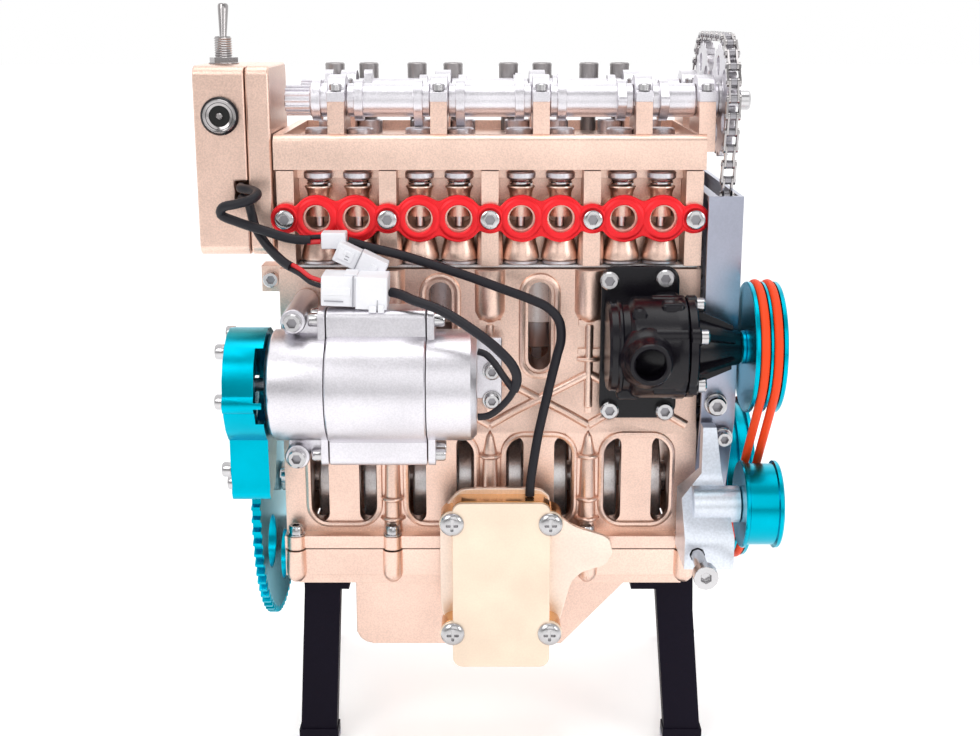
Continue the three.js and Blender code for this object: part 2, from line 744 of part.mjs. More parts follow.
function cylinderHead() {
  const portDepth = 6;
  const ceiling = 3;
  const half = blockHalfLength;
  const core = block(-half, half, -headCoreHalf, headCoreHalf, headBottom, headTop);
  const walls = sides.flatMap((side) => {
    const reach = towardsSide(side, headCoreHalf - cutOver, headCoreHalf + ceiling);
    const ledge = block(-half, half, ...reach, headTop - ceiling, headTop);
    return [...headPillars(side), ...portBosses(side), ledge];
  });
  const ports = sides.flatMap((side) => {
    const opening = towardsSide(side, headCoreHalf - portDepth, headFaceHalf + cutOver);
    return portPlaces.map((x) => barY(...opening, x, portHeight, portRadius, smallSides));
  });
  place('cylinder_head', cut(join(core, walls), ports), 'gold');
}

// Red port plate clamped over the eight ports
function portPlate() {
  const thickness = 2.3;
  const lobeRadius = 7;
  const endRadius = 4.4;
  const barHalf = 3.4;
  const back = -headFaceHalf - seatGap;
  const front = back - thickness;
  const span = halfCount * cylinderPitch;
  const lobes = portPlaces.map((x) => barY(front, back, x, portHeight, lobeRadius));
  const ends = bulkheadPlaces.map((x) => barY(front, back, x, portHeight, endRadius, smallSides));
  const bar = block(-span, span, front, back, portHeight - barHalf, portHeight + barHalf);
  const through = [front - cutOver, back + cutOver];
  const holes = portPlaces.map((x) => barY(...through, x, portHeight, portRadius, smallSides));
  place('port_plate', cut(join(lobes, ends, bar), holes), 'red');
}

// Camshaft carrier with its bearing towers and caps
const towerHalf = 2.45;
const lastTowerOverhang = 0.2;
const towerPlaces = [...cylinderPlaces, blockHalfLength + lastTowerOverhang];
const lobeOffset = 6.3;
const lobeHalf = 1.35;
const lobePlaces = cylinderPlaces.flatMap((x) => [x - lobeOffset, x + lobeOffset]);

function bearingTowers(y) {
  const footHalf = 11;
  const lugHalf = 9.4;
  const lugHeight = 2.6;
  const capRadius = 7.2;
  const foot = carrierBottom + carrierHeight / 2;
  const shape = outline([
    [y - footHalf, foot],
    [y + footHalf, foot],
    [y + lugHalf, camshaftHeight],
    [y + lugHalf, camshaftHeight + lugHeight],
    [y - lugHalf, camshaftHeight + lugHeight],
    [y - lugHalf, camshaftHeight],
  ]);
  return towerPlaces.flatMap((x) => [
    plateX(shape, x - towerHalf, x + towerHalf),
    barX(x - towerHalf, x + towerHalf, y, camshaftHeight, capRadius),
  ]);
}

function camCarrier() {
  const chamfer = 2;
  const trayDepth = 3;
  const trayInset = 3;
  const tappetRadius = 4.4;
  const half = headFaceHalf;
  const trayHalf = blockHalfLength - trayInset;
  const trayWidth = half - trayInset;
  const section = outline([
    [half, carrierBottom],
    [half, carrierTop - chamfer],
    [half - chamfer, carrierTop],
    [-half + chamfer, carrierTop],
    [-half, carrierTop - chamfer],
    [-half, carrierBottom],
  ]);
  const floor = carrierTop - trayDepth;
  const tray = block(-trayHalf, trayHalf, -trayWidth, trayWidth, floor, carrierTop + cutOver);
  const base = cut(plateX(section, -blockHalfLength, blockHalfLength), tray);
  const end = blockHalfLength + towerHalf + lastTowerOverhang;
  const through = [carrierBottom - cutOver, carrierTop + cutOver];
  const holes = cams.flatMap(({ y }) => [
    holeX(-end, end, y, camshaftHeight, camJournalRadius + runningGap),
    ...lobePlaces.map((x) => barZ(...through, x, y, tappetRadius, smallSides)),
  ]);
  place('cam_carrier', cut(join(base, cams.flatMap(({ y }) => bearingTowers(y))), holes), 'gold');
}

// Camshafts with their lobes; the lobes follow the firing order
const lobeBase = 6.1;
const lobeNoseRadius = 2.4;
const lobeNoseReach = 5.6;
const lobeTurnShares = [0, 0.75, 0.25, 0.5];

function lobeOutline(y, angle) {
  const points = [];
  const spread = Math.acos((lobeBase - lobeNoseRadius) / lobeNoseReach);
  const noseY = y + lobeNoseReach * Math.cos(angle);
  const noseZ = camshaftHeight + lobeNoseReach * Math.sin(angle);
  for (let k = 0; k <= arcSteps; k += 1) {
    const turn = angle - spread + (2 * spread * k) / arcSteps;
    points.push([noseY + lobeNoseRadius * Math.cos(turn), noseZ + lobeNoseRadius * Math.sin(turn)]);
  }
  const baseSteps = 2 * arcSteps;
  for (let k = 0; k <= baseSteps; k += 1) {
    const turn = angle + spread + ((2 * Math.PI - 2 * spread) * k) / baseSteps;
    points.push([y + lobeBase * Math.cos(turn), camshaftHeight + lobeBase * Math.sin(turn)]);
  }
  return outline(points);
}

const sprocketBore = 2.5;

function camshaft({ name, y, turnShare }) {
  const splineLength = 7.6;
  const splineEnd = cylinderPlaces[0] - cylinderPitch / 2 - seatGap * 2;
  const shaftEnd = chainX - chainWidth / 2 + seatGap;
  const gapHalf = towerHalf + runningGap;
  const starts = [splineEnd + splineLength, ...towerPlaces.map((x) => x + gapHalf)];
  const ends = [...towerPlaces.map((x) => x - gapHalf), shaftEnd];
  const tubes = starts.map((x, i) => barX(x, ends[i], y, camshaftHeight, camTubeRadius, smallSides));
  const journal = barX(splineEnd, shaftEnd - cutOver, y, camshaftHeight, camJournalRadius, smallSides);
  const tip = barX(shaftEnd - 2 * cutOver, sprocketRight, y, camshaftHeight, sprocketBore, smallSides);
  const lobes = lobePlaces.map((x, i) => {
    const turn = 2 * Math.PI * (lobeTurnShares[Math.floor(i / 2)] + turnShare);
    return plateX(lobeOutline(y, turn), x - lobeHalf, x + lobeHalf);
  });
  place(`${name}_camshaft`, join(journal, tubes, tip, lobes), 'silver');
}

// Camshaft sprockets, timing chain and timing cover
const chainInset = -chainThickness / 2;
const chainWheels = [
  { y: 0, z: 0, radius: timingRadius, side: 1 },
  { y: cams[1].y, z: camshaftHeight, radius: chainPitchRadius, side: 1 },
  { y: cams[0].y, z: camshaftHeight, radius: chainPitchRadius, side: 1 },
];

function camSprocket({ name, y }) {
  const boltRadius = 2.6;
  const boltLength = 3.4;
  const holeCount = 5;
  const holeReach = 10.5;
  const holeRadius = 3;
  const tip = chainPitchRadius - chainThickness / 2 - toothClearance;
  const shape = toothed(y, camshaftHeight, camSprocketTeeth, tip, tip - toothModule, Math.PI / 2);
  const depth = [sprocketLeft - cutOver, sprocketRight + cutOver];
  const holes = Array.from({ length: holeCount }, (_, i) => {
    const angle = (2 * Math.PI * i) / holeCount;
    const z = camshaftHeight + holeReach * Math.sin(angle);
    return barX(...depth, y + holeReach * Math.cos(angle), z, holeRadius, tinySides);
  });
  const boltFoot = sprocketRight + seatGap;
  const bore = barX(depth[0], boltFoot, y, camshaftHeight, sprocketBore + seatGap, smallSides);
  const bolt = barX(boltFoot, sprocketRight + boltLength, y, camshaftHeight, boltRadius, smallSides);
  const collar = barX(sprocketRight - cutOver, depth[1], y, camshaftHeight, 2 * boltRadius, smallSides);
  const wheel = cut(join(plateX(shape, sprocketLeft, sprocketRight), collar), holes, bore);
  place(`${name}_sprocket`, join(wheel, bolt), 'silver');
}

function timingChain() {
  const x0 = chainX - chainWidth / 2;
  const band = beltBand(chainWheels, chainInset, chainThickness, x0, x0 + chainWidth);
  place('timing_chain', band, 'steel');
}

const coverRise = 7;
const coverTop = portHeight + coverRise;

function timingCover() {
  const shoulderHalf = 36;
  const shoulderZ = 30;
  const footHalf = 17;
  const footZ = -17;
  const face = 1.2;
  const x0 = blockHalfLength + seatGap;
  const x1 = x0 + coverWidth;
  const shellShape = (inset, top) => outline([
    [-footHalf + inset, footZ + inset],
    [footHalf - inset, footZ + inset],
    [shoulderHalf - inset, shoulderZ],
    [shoulderHalf - inset, top],
    [-shoulderHalf + inset, top],
    [-shoulderHalf + inset, shoulderZ],
  ]);
  const shell = plateX(shellShape(0, coverTop), x0, x1);
  const inside = plateX(shellShape(wall, coverTop - wall), x0 - cutOver, x1 - face);
  const slotHalf = chainWidth / 2 + 2 * seatGap;
  const slotWidth = shoulderHalf - wall;
  const throat = block(chainX - slotHalf, chainX + slotHalf, -slotWidth, slotWidth, coverTop - 2 * wall,
    coverTop + cutOver);
  place('timing_cover', cut(shell, inside, throat, holeX(x0, x1, 0, 0, crankBoreRadius)), 'silver');
}

// Battery box with its lid, power jack and toggle switch
const boxDepth = 15;
const boxStandoff = 8;
const boxFront = -30;
const boxBack = 6;
const boxRise = 4.5;
const boxHeight = 55.8;
const boxCorner = 3;
const boxSeam = -blockHalfLength - boxStandoff;
const boxLeft = boxSeam - boxDepth;
const boxRight = -blockHalfLength - 2 * seatGap;
const boxBottom = deckHeight + boxRise;
const boxTop = boxBottom + boxHeight;
const jackInset = 7.8;
const jackRise = 41.4;
const jackX = boxLeft + jackInset;
const jackZ = boxBottom + jackRise;
const jackBarrel = 4;
const switchInset = 6.3;
const switchX = boxLeft + switchInset;
const switchY = -12;
const bushingRadius = 2.7;

function boxShell(x0, x1, inset) {
  const low = boxBottom + inset;
  const high = boxTop - inset;
  return plateX(rounded(boxFront + inset, boxBack - inset, low, high, boxCorner - inset), x0, x1);
}

function batteryBox() {
  const openingWidth = 3.8;
  const openingRise = 16.1;
  const openingHeight = 6.3;
  const openingLow = boxBottom + openingRise;
  const front = [boxFront - cutOver, boxFront + 2 * wall];
  const cuts = [
    boxShell(boxLeft + wall, boxSeam + cutOver, wall),
    block(boxSeam - openingWidth, boxSeam + cutOver, ...front, openingLow, openingLow + openingHeight),
    barY(...front, jackX, jackZ, jackBarrel + seatGap, smallSides),
    barZ(boxTop - 2 * wall, boxTop + cutOver, switchX, switchY, bushingRadius + seatGap, smallSides),
  ];
  place('battery_box', cut(boxShell(boxLeft, boxSeam, 0), cuts), 'gold');
  const hollow = boxShell(boxSeam - cutOver, boxRight - wall, wall);
  const lid = cut(boxShell(boxSeam + seatGap, boxRight, 0), hollow);
  place('battery_lid', lid, 'gold');
}

function powerJack() {
  const flangeRadius = 5.6;
  const flangeThickness = 1.5;
  const barrelLength = 9;
  const mouthRadius = 3.1;
  const contactRadius = 1;
  const flangeFront = boxFront - seatGap - flangeThickness;
  const barrelBack = boxFront + barrelLength;
  const body = join(
    barY(flangeFront, boxFront - seatGap, jackX, jackZ, flangeRadius),
    barY(boxFront - cutOver, barrelBack, jackX, jackZ, jackBarrel, smallSides),
  );
  const mouth = barY(flangeFront - cutOver, barrelBack - 2 * wall, jackX, jackZ, mouthRadius, smallSides);
  const contact = barY(flangeFront + cutOver, barrelBack - wall, jackX, jackZ, contactRadius, tinySides);
  place('power_jack', join(cut(body, mouth), contact), 'darkSteel');
}

const leverPivotRise = 5.5;
const leverPivotZ = boxTop + leverPivotRise;
const leverTilt = 12;

function toggleSwitch() {
  const nutRadius = 4.3;
  const nutHeight = 1.6;
  const bushingRise = 8.1;
  const leverBore = 1.9;
  const boreDepth = 2;
  const bodyDrop = 7;
  const bodyHalf = 3.6;
  const bushingTop = boxTop + bushingRise;
  const nutBottom = boxTop + seatGap;
  const innerEnd = boxTop - bodyDrop;
  const bodySides = [switchX - bodyHalf, switchX + bodyHalf, switchY - bodyHalf, switchY + bodyHalf];
  const bushing = join(
    barZ(innerEnd, bushingTop, switchX, switchY, bushingRadius, smallSides),
    barZ(nutBottom, nutBottom + nutHeight, switchX, switchY, nutRadius, tinySides),
    block(...bodySides, innerEnd - 2 * bodyHalf, innerEnd + cutOver),
  );
  const bore = barZ(leverPivotZ - boreDepth, bushingTop + cutOver, switchX, switchY, leverBore, smallSides);
  place('switch_bushing', cut(bushing, bore), 'steel');
}

function switchLever() {
  const leverLength = 13.5;
  const rootRadius = 0.95;
  const tipRadius = 1.6;
  const heel = 1;
  const lever = new THREE.CylinderGeometry(tipRadius, rootRadius, leverLength, tinySides);
  lever.rotateX(Math.PI / 2).translate(0, 0, leverLength / 2 - heel);
  lever.rotateX(THREE.MathUtils.degToRad(-leverTilt)).translate(switchX, switchY, leverPivotZ);
  place('switch_lever', solid(lever), 'steel');
}

// Water pump
const pumpRadius = 15;
const pumpSeamInset = 18.1;
const pumpSeam = pulleyX - pumpSeamInset;

function pumpBody() {
  const plateWidth = 23.5;
  const plateLow = 25.1;
  const plateHigh = 22.1;
  const plateStandoff = 2;
  const plateThickness = 2.2;
  const plateCorner = 4;
  const padInset = 3.4;
  const bodyLength = 22.5;
  const neckHalf = 11;
  const portInset = 11.7;
  const portDrop = 0.4;
  const portOuter = 6.2;
  const portInner = 4.4;
  const portLength = 21.4;
  const portDepth = 5;
  const plateBack = barrelFront - plateStandoff;
  const plateFront = plateBack - plateThickness;
  const plateLeft = pumpSeam - plateWidth;
  const bodyLeft = pumpSeam - bodyLength;
  const low = pumpZ - plateLow;
  const high = pumpZ + plateHigh;
  const padTop = high - 3 * wall;
  const neckHeights = [pumpZ - neckHalf, pumpZ + neckHalf];
  const portX = pumpSeam - portInset;
  const portZ = pumpZ - portDrop;
  const portFront = pumpY - portLength;
  const body = join(
    plateY(rounded(plateLeft, pumpSeam, low, high, plateCorner), plateFront, plateBack),
    block(plateLeft + padInset, pumpSeam - wall, plateBack - cutOver, barrelFront, low + wall, padTop),
    barX(bodyLeft, pumpSeam, pumpY, pumpZ, pumpRadius, fineSides),
    block(bodyLeft + wall, pumpSeam - wall, pumpY, plateFront + wall / 2, ...neckHeights),
    barY(portFront, pumpY, portX, portZ, portOuter),
  );
  const mouth = barY(portFront - cutOver, pumpY - portDepth, portX, portZ, portInner);
  place('pump_body', cut(body, mouth), 'black');
}

function pumpNose() {
  const capThickness = 2.8;
  const coneLength = 13.6;
  const noseBase = 9;
  const noseTip = 5;
  const bearing = 2.9;
  const capEnd = pumpSeam + seatGap + capThickness;
  const nose = join(
    barX(pumpSeam + seatGap, capEnd, pumpY, pumpZ, pumpRadius, fineSides),
    barX(capEnd - wall / 2, capEnd + coneLength, pumpY, pumpZ, noseBase, roundSides, noseTip),
  );
  const bore = barX(capEnd + wall, pulleyX, pumpY, pumpZ, bearing, smallSides);
  place('pump_nose', cut(nose, bore), 'black');
  const shaft = barX(capEnd + 2 * wall, pulleyX + cutOver, pumpY, pumpZ, bearing - seatGap, smallSides);
  place('pump_pulley', join(groovedPulley(pumpPulley), shaft), 'teal');
}

// Pulleys with two grooves, belts, the belt idler and its bracket
function groovedPulley({ y, z, radius }) {
  const floor = radius - grooveDepth;
  const grooves = [pulleyX + pulleyRim, pulleyX + pulleyRim + pulleyGroove + pulleyRib].map((x0) => {
    const x1 = x0 + pulleyGroove;
    const middle = barX(x0 - cutOver, x1 + cutOver, y, z, floor, fineSides);
    return cut(barX(x0, x1, y, z, radius + cutOver, fineSides), middle);
  });
  return cut(barX(pulleyX, pulleyEnd, y, z, radius, fineSides), grooves);
}

function crankPulleyWheel() {
  const hole = holeX(pulleyX, pulleyEnd, 0, 0, stubRadius + seatGap);
  place('crank_pulley', cut(groovedPulley(crankPulley), hole), 'teal');
}

function driveBelts() {
  const inset = beltThickness / 2 + beltSink;
  const wheels = [crankPulley, pumpPulley].map((wheel) => ({ ...wheel, radius: wheel.radius - inset }));
  const outside = { ...idler, radius: idler.radius + runningGap + beltThickness };
  ['inner', 'outer'].forEach((name, i) => {
    const middle = pulleyX + pulleyRim + pulleyGroove / 2 + i * (pulleyGroove + pulleyRib);
    const x0 = middle - beltThickness / 2;
    const band = beltBand([...wheels, outside], 0, beltThickness, x0, x0 + beltThickness);
    place(`drive_belt_${name}`, band, 'orange');
  });
}

function beltIdler() {
  const flange = 1.4;
  const x1 = pulleyEnd + 2 * seatGap;
  const body = join(
    barX(pulleyX, pulleyX + flange, idlerY, idlerZ, idlerFlangeRadius, fineSides),
    barX(pulleyX, x1 + flange, idlerY, idlerZ, idlerDrumRadius, fineSides),
    barX(x1, x1 + flange, idlerY, idlerZ, idlerFlangeRadius, fineSides),
  );
  const boreLeft = pulleyX - cutOver;
  const bore = barX(boreLeft, x1, idlerY, idlerZ, idlerShaftRadius + runningGap, smallSides);
  place('idler_pulley', cut(body, bore), 'teal');
}

const bracketReach = 10;
const bracketFront = idlerY - bracketReach;
const bracketInset = 17.4;
const bracketLeft = pulleyX - bracketInset;
const screwInset = 3.8;
const screwX = bracketLeft + screwInset;
const screwZ = -5.4;
const screwShank = 2;

function idlerBracket() {
  const width = 14.7;
  const standoff = 1.7;
  const low = -10;
  const nose = -1;
  const shoulderY = -43;
  const shoulderZ = 15;
  const shoulderDrop = 6;
  const flangeTop = 29.4;
  const flangeInset = 6.5;
  const flangeWidth = 3.9;
  const hubRadius = 5.6;
  const right = bracketLeft + width;
  const back = -railHalfWidth - standoff;
  const flangeLeft = bracketLeft + flangeInset;
  const depth = [bracketFront - cutOver, back + cutOver];
  const section = outline([
    [bracketFront, low],
    [back, low],
    [back, flangeTop],
    [shoulderY, flangeTop],
    [shoulderY, shoulderZ],
    [bracketFront, nose],
  ]);
  const slice = outline([
    [bracketLeft, low - cutOver],
    [right, low - cutOver],
    [right, 0],
    [flangeLeft + flangeWidth, flangeTop + cutOver],
    [flangeLeft, flangeTop + cutOver],
    [flangeLeft, shoulderZ],
    [bracketLeft, shoulderZ - shoulderDrop],
  ]);
  const body = plateX(section, bracketLeft, right).intersect(plateY(slice, ...depth));
  const hub = barX(bracketLeft + 2 * wall, pulleyX - seatGap, idlerY, idlerZ, hubRadius);
  const shaft = barX(pulleyX - cutOver, pulleyEnd, idlerY, idlerZ, idlerShaftRadius, smallSides);
  const hole = barY(...depth, screwX, screwZ, screwShank + seatGap, smallSides);
  place('idler_bracket', cut(join(body, hub, shaft), hole), 'silver');
}

function adjusterScrew() {
  const headRadius = 3.6;
  const headLength = 4;
  const headStandoff = 18;
  const socketRadius = 1.7;
  const railGap = 2;
  const headFront = bracketFront - headStandoff;
  const shank = barY(headFront + cutOver, -railHalfWidth - railGap, screwX, screwZ, screwShank, smallSides);
  const head = barY(headFront, headFront + headLength, screwX, screwZ, headRadius);
  const socketEnd = headFront + headLength / 2;
  const socket = barY(headFront - cutOver, socketEnd, screwX, screwZ, socketRadius, tinySides);
  place('adjuster_screw', cut(join(shank, head), socket), 'steel');
}

// Reduction gearbox bolted to the front of the sump rail
const gearboxStandoff = 3.6;
const gearboxBack = -railHalfWidth - gearboxStandoff;
const gearboxLeft = -11.4;
const gearboxRight = 18.2;
const gearboxTop = 7.8;
const gearboxBossHigh = 1.2;
const gearboxBossLow = -34.4;
const gearboxCorner = 3;
const gearboxBossRadius = 3.9;
const gearboxDepth = 10.5;
const coverThickness = 1.5;
const coverFront = gearboxBack - gearboxDepth;
const baseFront = coverFront + coverThickness + seatGap;

// The arm's right edge as shares of its reach and of the distance between the bosses, from its low end
const armShares = [
  [0.16, -0.04],
  [0.35, 0.38],
  [0.53, 0.47],
  [0.89, 0.53],
  [1, 0.65],
  [0.93, 0.79],
  [0.37, 0.89],
  [0, 1.06],
];

function gearboxBosses(y0, y1) {
  return [gearboxLeft, gearboxRight].flatMap((x) => [gearboxBossHigh, gearboxBossLow].map((z) =>
    barY(y0, y1, x, z, gearboxBossRadius, smallSides)));
}

function gearboxArm() {
  const reach = 19.8;
  const margin = 4;
  const drop = 4;
  const thickness = 1.8;
  const span = gearboxBossHigh - gearboxBossLow;
  const shape = outline([
    [gearboxLeft - margin, gearboxBossLow + drop],
    [gearboxLeft, gearboxBossLow - drop],
    [gearboxRight, gearboxBossLow - drop],
    ...armShares.map(([a, b]) => [gearboxRight + a * reach, gearboxBossLow + b * span]),
    [gearboxLeft - margin, gearboxBossHigh],
  ]);
  return plateY(shape, gearboxBack - thickness, gearboxBack);
}

function reductionGearbox() {
  const baseLow = -38.4;
  const coverLow = -45.6;
  const railGap = 2;
  const tongueDepth = 7.8;
  const tongueWidth = 7.8;
  const base = join(
    plateY(rounded(gearboxLeft, gearboxRight, baseLow, gearboxTop, gearboxCorner), baseFront, gearboxBack),
    gearboxArm(),
    gearboxBosses(baseFront, gearboxBack),
  );
  const tongueLeft = gearboxRight - tongueWidth;
  const tongueLow = -crankcaseDepth - tongueDepth;
  const tongueDepths = [gearboxBack - cutOver, -railHalfWidth - railGap];
  const tongue = block(tongueLeft, gearboxRight, ...tongueDepths, tongueLow, -crankcaseDepth);
  place('gearbox_base', join(base, tongue), 'paleGold');
  const coverBack = coverFront + coverThickness;
  const cover = join(
    plateY(rounded(gearboxLeft, gearboxRight, coverLow, gearboxTop, gearboxCorner), coverFront, coverBack),
    gearboxBosses(coverFront, coverBack),
  );
  place('gearbox_cover', cover, 'paleGold');
}

// Two stands, each with a cross plate and two splayed legs on pads
const legWidth = 11.4;
const plateInner = 45;
const stands = [
  { name: 'stand_left', sign: -1, frontInner: 47.8, rearInner: 55.6, lean: 1.3 },
  { name: 'stand_right', sign: 1, frontInner: 52.9, rearInner: 61, lean: 2.9 },
];

// A span along X from a distance from mid length, on the given side of it
function spanX(sign, inner, width) {
  return sign < 0 ? [-inner - width, -inner] : [inner, inner + width];
}

function stand({ name, sign, frontInner, rearInner, lean }) {
  const plateThickness = 3;
  const legHalf = 3;
  const topY = 27;
  const footY = 37;
  const padHeight = 5;
  const padMargin = 0.5;
  const floor = -floorDepth;
  const padTop = floor + padHeight;
  const high = sumpStepBottom - seatGap;
  const low = high - plateThickness;
  const halfPlate = topY + legHalf;
  const plate = outline([
    [sign * plateInner, -halfPlate],
    [sign * (frontInner + legWidth), -halfPlate],
    [sign * (rearInner + legWidth), halfPlate],
    [sign * plateInner, halfPlate],
  ]);
  const legs = [[-1, frontInner], [1, rearInner]].flatMap(([side, inner]) => {
    const foot = [...spanX(sign, inner + lean, legWidth), side * footY - legHalf, side * footY + legHalf];
    const top = [...spanX(sign, inner, legWidth), side * topY - legHalf, side * topY + legHalf];
    const [x0, x1, y0, y1] = foot;
    const pad = block(x0 - padMargin, x1 + padMargin, y0 - padMargin, y1 + padMargin, floor, padTop);
    return [taperedBar(padTop - cutOver, foot, low + cutOver, top), pad];
  });
  place(name, join(plateZ(plate, low, high), legs), 'black');
}

// Leads; each route is a list of points chosen by hand along its run, with Z from the deck up
const leadRadius = 1.4;
const leadStep = 5 * leadRadius;
const leadSides = 8;
const leadRoutes = {
  lead_to_small_plug: [
    [-73.9, -30.3, 25.1], [-73.3, -33.6, 25.1], [-69.7, -36.6, 24.9], [-67.6, -40, 24.2],
    [-69.2, -43, 22.9], [-73.2, -43.6, 21.8], [-77.4, -42.4, 20.6], [-78.2, -41, 18.4],
    [-73.4, -41, 16.2], [-66.5, -41, 13.9], [-58.4, -41, 11.4], [-53.4, -40.6, 10.9],
    [-49.6, -40.5, 11.1],
  ],
  lead_to_large_plug: [
    [-73.9, -30.3, 21.9], [-71.5, -33.4, 21], [-70.1, -35.6, 17.5], [-69.2, -36.6, 14.4],
    [-66.7, -38.5, 10.6], [-63.8, -41, 7.7], [-59.5, -45, 4.8], [-54.7, -49, 3],
    [-51.4, -51.8, 1.2], [-48.3, -53.2, 0.4],
  ],
  lead_to_gearbox: [
    [-41.6, -40, 10.4], [-34.6, -39.6, 8.4], [-26.4, -39.8, 6.4], [-17.6, -40.6, 3.8],
    [-5.9, -41, 0], [2.9, -41.4, -3.2], [11.8, -41.6, -6.5], [17.1, -41.6, -9.1],
    [20.4, -41.6, -13], [21.1, -41.6, -18.6], [19.9, -41.6, -23.8], [18.2, -41.8, -31.1],
    [16.5, -42, -38.8], [14.5, -42.6, -48], [13, -43.4, -57.2], [12.2, -43.8, -63.5],
    [12.1, -43.8, -66.8],
  ],
  lead_to_motor: [
    [-28.1, -55, -1.8], [-25.2, -57, -2.1], [-21.9, -60, -3], [-13.9, -64, -5.1], [-5.5, -68, -9.4],
    [1.4, -70.5, -14.2], [6.1, -70.5, -19.3], [7.5, -69.5, -23.3], [6.2, -68.6, -27.9],
    [2.8, -67.6, -32.4], [-0.6, -66.4, -35.1], [-3.4, -66, -35.6],
  ],
};

function lead(name) {
  const points = leadRoutes[name].map(([x, y, z]) => new THREE.Vector3(x, y, deckHeight + z));
  const path = new THREE.CatmullRomCurve3(points, false, 'centripetal');
  const section = outline(Array.from({ length: leadSides }, (_, i) => {
    const angle = (2 * Math.PI * i) / leadSides;
    return [leadRadius * Math.cos(angle), leadRadius * Math.sin(angle)];
  }));
  const steps = Math.ceil(path.getLength() / leadStep);
  const tube = new THREE.ExtrudeGeometry(section, { steps, extrudePath: path, bevelEnabled: false });
  place(name, solid(tube), 'cable');
}

// A plug housing of the given length, depth and height, turned by degrees in the X and Z plane
function plugBody(x, y, z, length, depth, height, turn) {
  const box = new THREE.BoxGeometry(length, depth, height);
  return solid(box.rotateY(THREE.MathUtils.degToRad(-turn)).translate(x, y, z));
}

function smallPlug() {
  const x = -37.5;
  const y = -44.7;
  const rise = 5.4;
  const length = 15.4;
  const thickness = 5.8;
  const turn = -26;
  const neckX = -45.5;
  const neckY = -40.5;
  const neckRise = 11;
  const neckLength = 7.1;
  const neckDepth = 6.2;
  const neckHeight = 4.7;
  const neck = plugBody(neckX, neckY, deckHeight + neckRise, neckLength, neckDepth, neckHeight, 0);
  const body = plugBody(x, y, deckHeight + rise, length, thickness, thickness, turn);
  place('small_plug', join(neck, body), 'white');
}

function largePlug() {
  const x = -38.3;
  const y = -53.3;
  const drop = 1.1;
  const length = 18.8;
  const depth = 11;
  const height = 8.6;
  const turn = -2;
  place('large_plug', plugBody(x, y, deckHeight - drop, length, depth, height, turn), 'white');
}

cylinderBlock();
linerSet();
oilSump();
crankshaft();
cylinderPlaces.forEach(connectingRod);
cylinderPlaces.forEach(piston);
starterGears();
gearHousing();
starterMotor();
cylinderHead();
portPlate();
camCarrier();
cams.forEach(camshaft);
cams.forEach(camSprocket);
timingChain();
timingCover();
batteryBox();
powerJack();
toggleSwitch();
switchLever();
pumpBody();
pumpNose();
crankPulleyWheel();
driveBelts();
beltIdler();
idlerBracket();
adjusterScrew();
reductionGearbox();
stands.forEach(stand);
Object.keys(leadRoutes).forEach(lead);
smallPlug();
largePlug();

// The engine is moved so that it stands on the floor, centred on the origin
const bounds = new THREE.Box3().setFromObject(engine);
const middle = bounds.getCenter(new THREE.Vector3());
engine.position.set(-middle.x, -middle.y, -bounds.min.z);

export default engine;
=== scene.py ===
"""Looks of a display model of an inline engine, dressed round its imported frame.

Places are in the engine's own axes, in millimetres, with the crankshaft's axis at the origin:
X runs along the crankshaft towards the pulleys, Y from the starter's side to the back, Z up.
"""

import json
from collections import namedtuple
from math import acos, asin, atan2, ceil, cos, hypot, pi, radians, sin, sqrt, tau

import bmesh
import bpy
from mathutils import Matrix, Vector

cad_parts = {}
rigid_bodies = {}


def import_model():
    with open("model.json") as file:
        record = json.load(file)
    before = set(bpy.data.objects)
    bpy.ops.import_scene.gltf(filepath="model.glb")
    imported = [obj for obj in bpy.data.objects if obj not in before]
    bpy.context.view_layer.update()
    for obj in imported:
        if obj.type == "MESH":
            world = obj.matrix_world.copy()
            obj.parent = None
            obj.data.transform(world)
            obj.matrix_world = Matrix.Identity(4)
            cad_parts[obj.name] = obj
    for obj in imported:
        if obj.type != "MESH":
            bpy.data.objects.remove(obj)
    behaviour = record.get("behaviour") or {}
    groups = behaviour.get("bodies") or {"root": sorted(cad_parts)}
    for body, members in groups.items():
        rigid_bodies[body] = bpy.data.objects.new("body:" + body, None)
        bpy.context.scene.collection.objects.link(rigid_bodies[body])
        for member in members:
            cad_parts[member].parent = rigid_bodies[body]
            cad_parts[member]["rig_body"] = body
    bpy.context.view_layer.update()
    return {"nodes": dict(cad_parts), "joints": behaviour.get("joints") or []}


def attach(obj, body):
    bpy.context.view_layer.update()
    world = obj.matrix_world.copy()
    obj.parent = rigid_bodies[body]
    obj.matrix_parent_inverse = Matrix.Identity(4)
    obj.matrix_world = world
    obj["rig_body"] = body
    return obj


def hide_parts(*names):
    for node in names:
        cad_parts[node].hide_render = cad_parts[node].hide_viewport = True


MM = 0.001
RIGHT = (1, 0, 0)
LEFT = (-1, 0, 0)
FRONT = (0, -1, 0)
UP = (0, 0, 1)
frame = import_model()
joints = {joint["name"]: joint for joint in frame["joints"]}
origin = Vector(joints["crank_spin"]["pos_m"])


# Places and directions
def row(x, y, z):
    """A place in the frame's axes, in metres, from one in the engine's axes, in millimetres."""
    return origin + Vector((x, y, z)) * MM


def axis_of(joint):
    """Y and Z of a joint's axis in the engine's axes."""
    places = zip(joints[joint]["pos_m"], joints["crank_spin"]["pos_m"])
    return [round((place - start) / MM, 3) for place, start in places][1:]


def around(a, b, radius, angle):
    """The point at an angle on a circle round (a, b)."""
    return a + radius * cos(angle), b + radius * sin(angle)


def spoke(first, second, angle):
    """The direction at an angle from a first one towards a second one."""
    return first * cos(angle) + second * sin(angle)


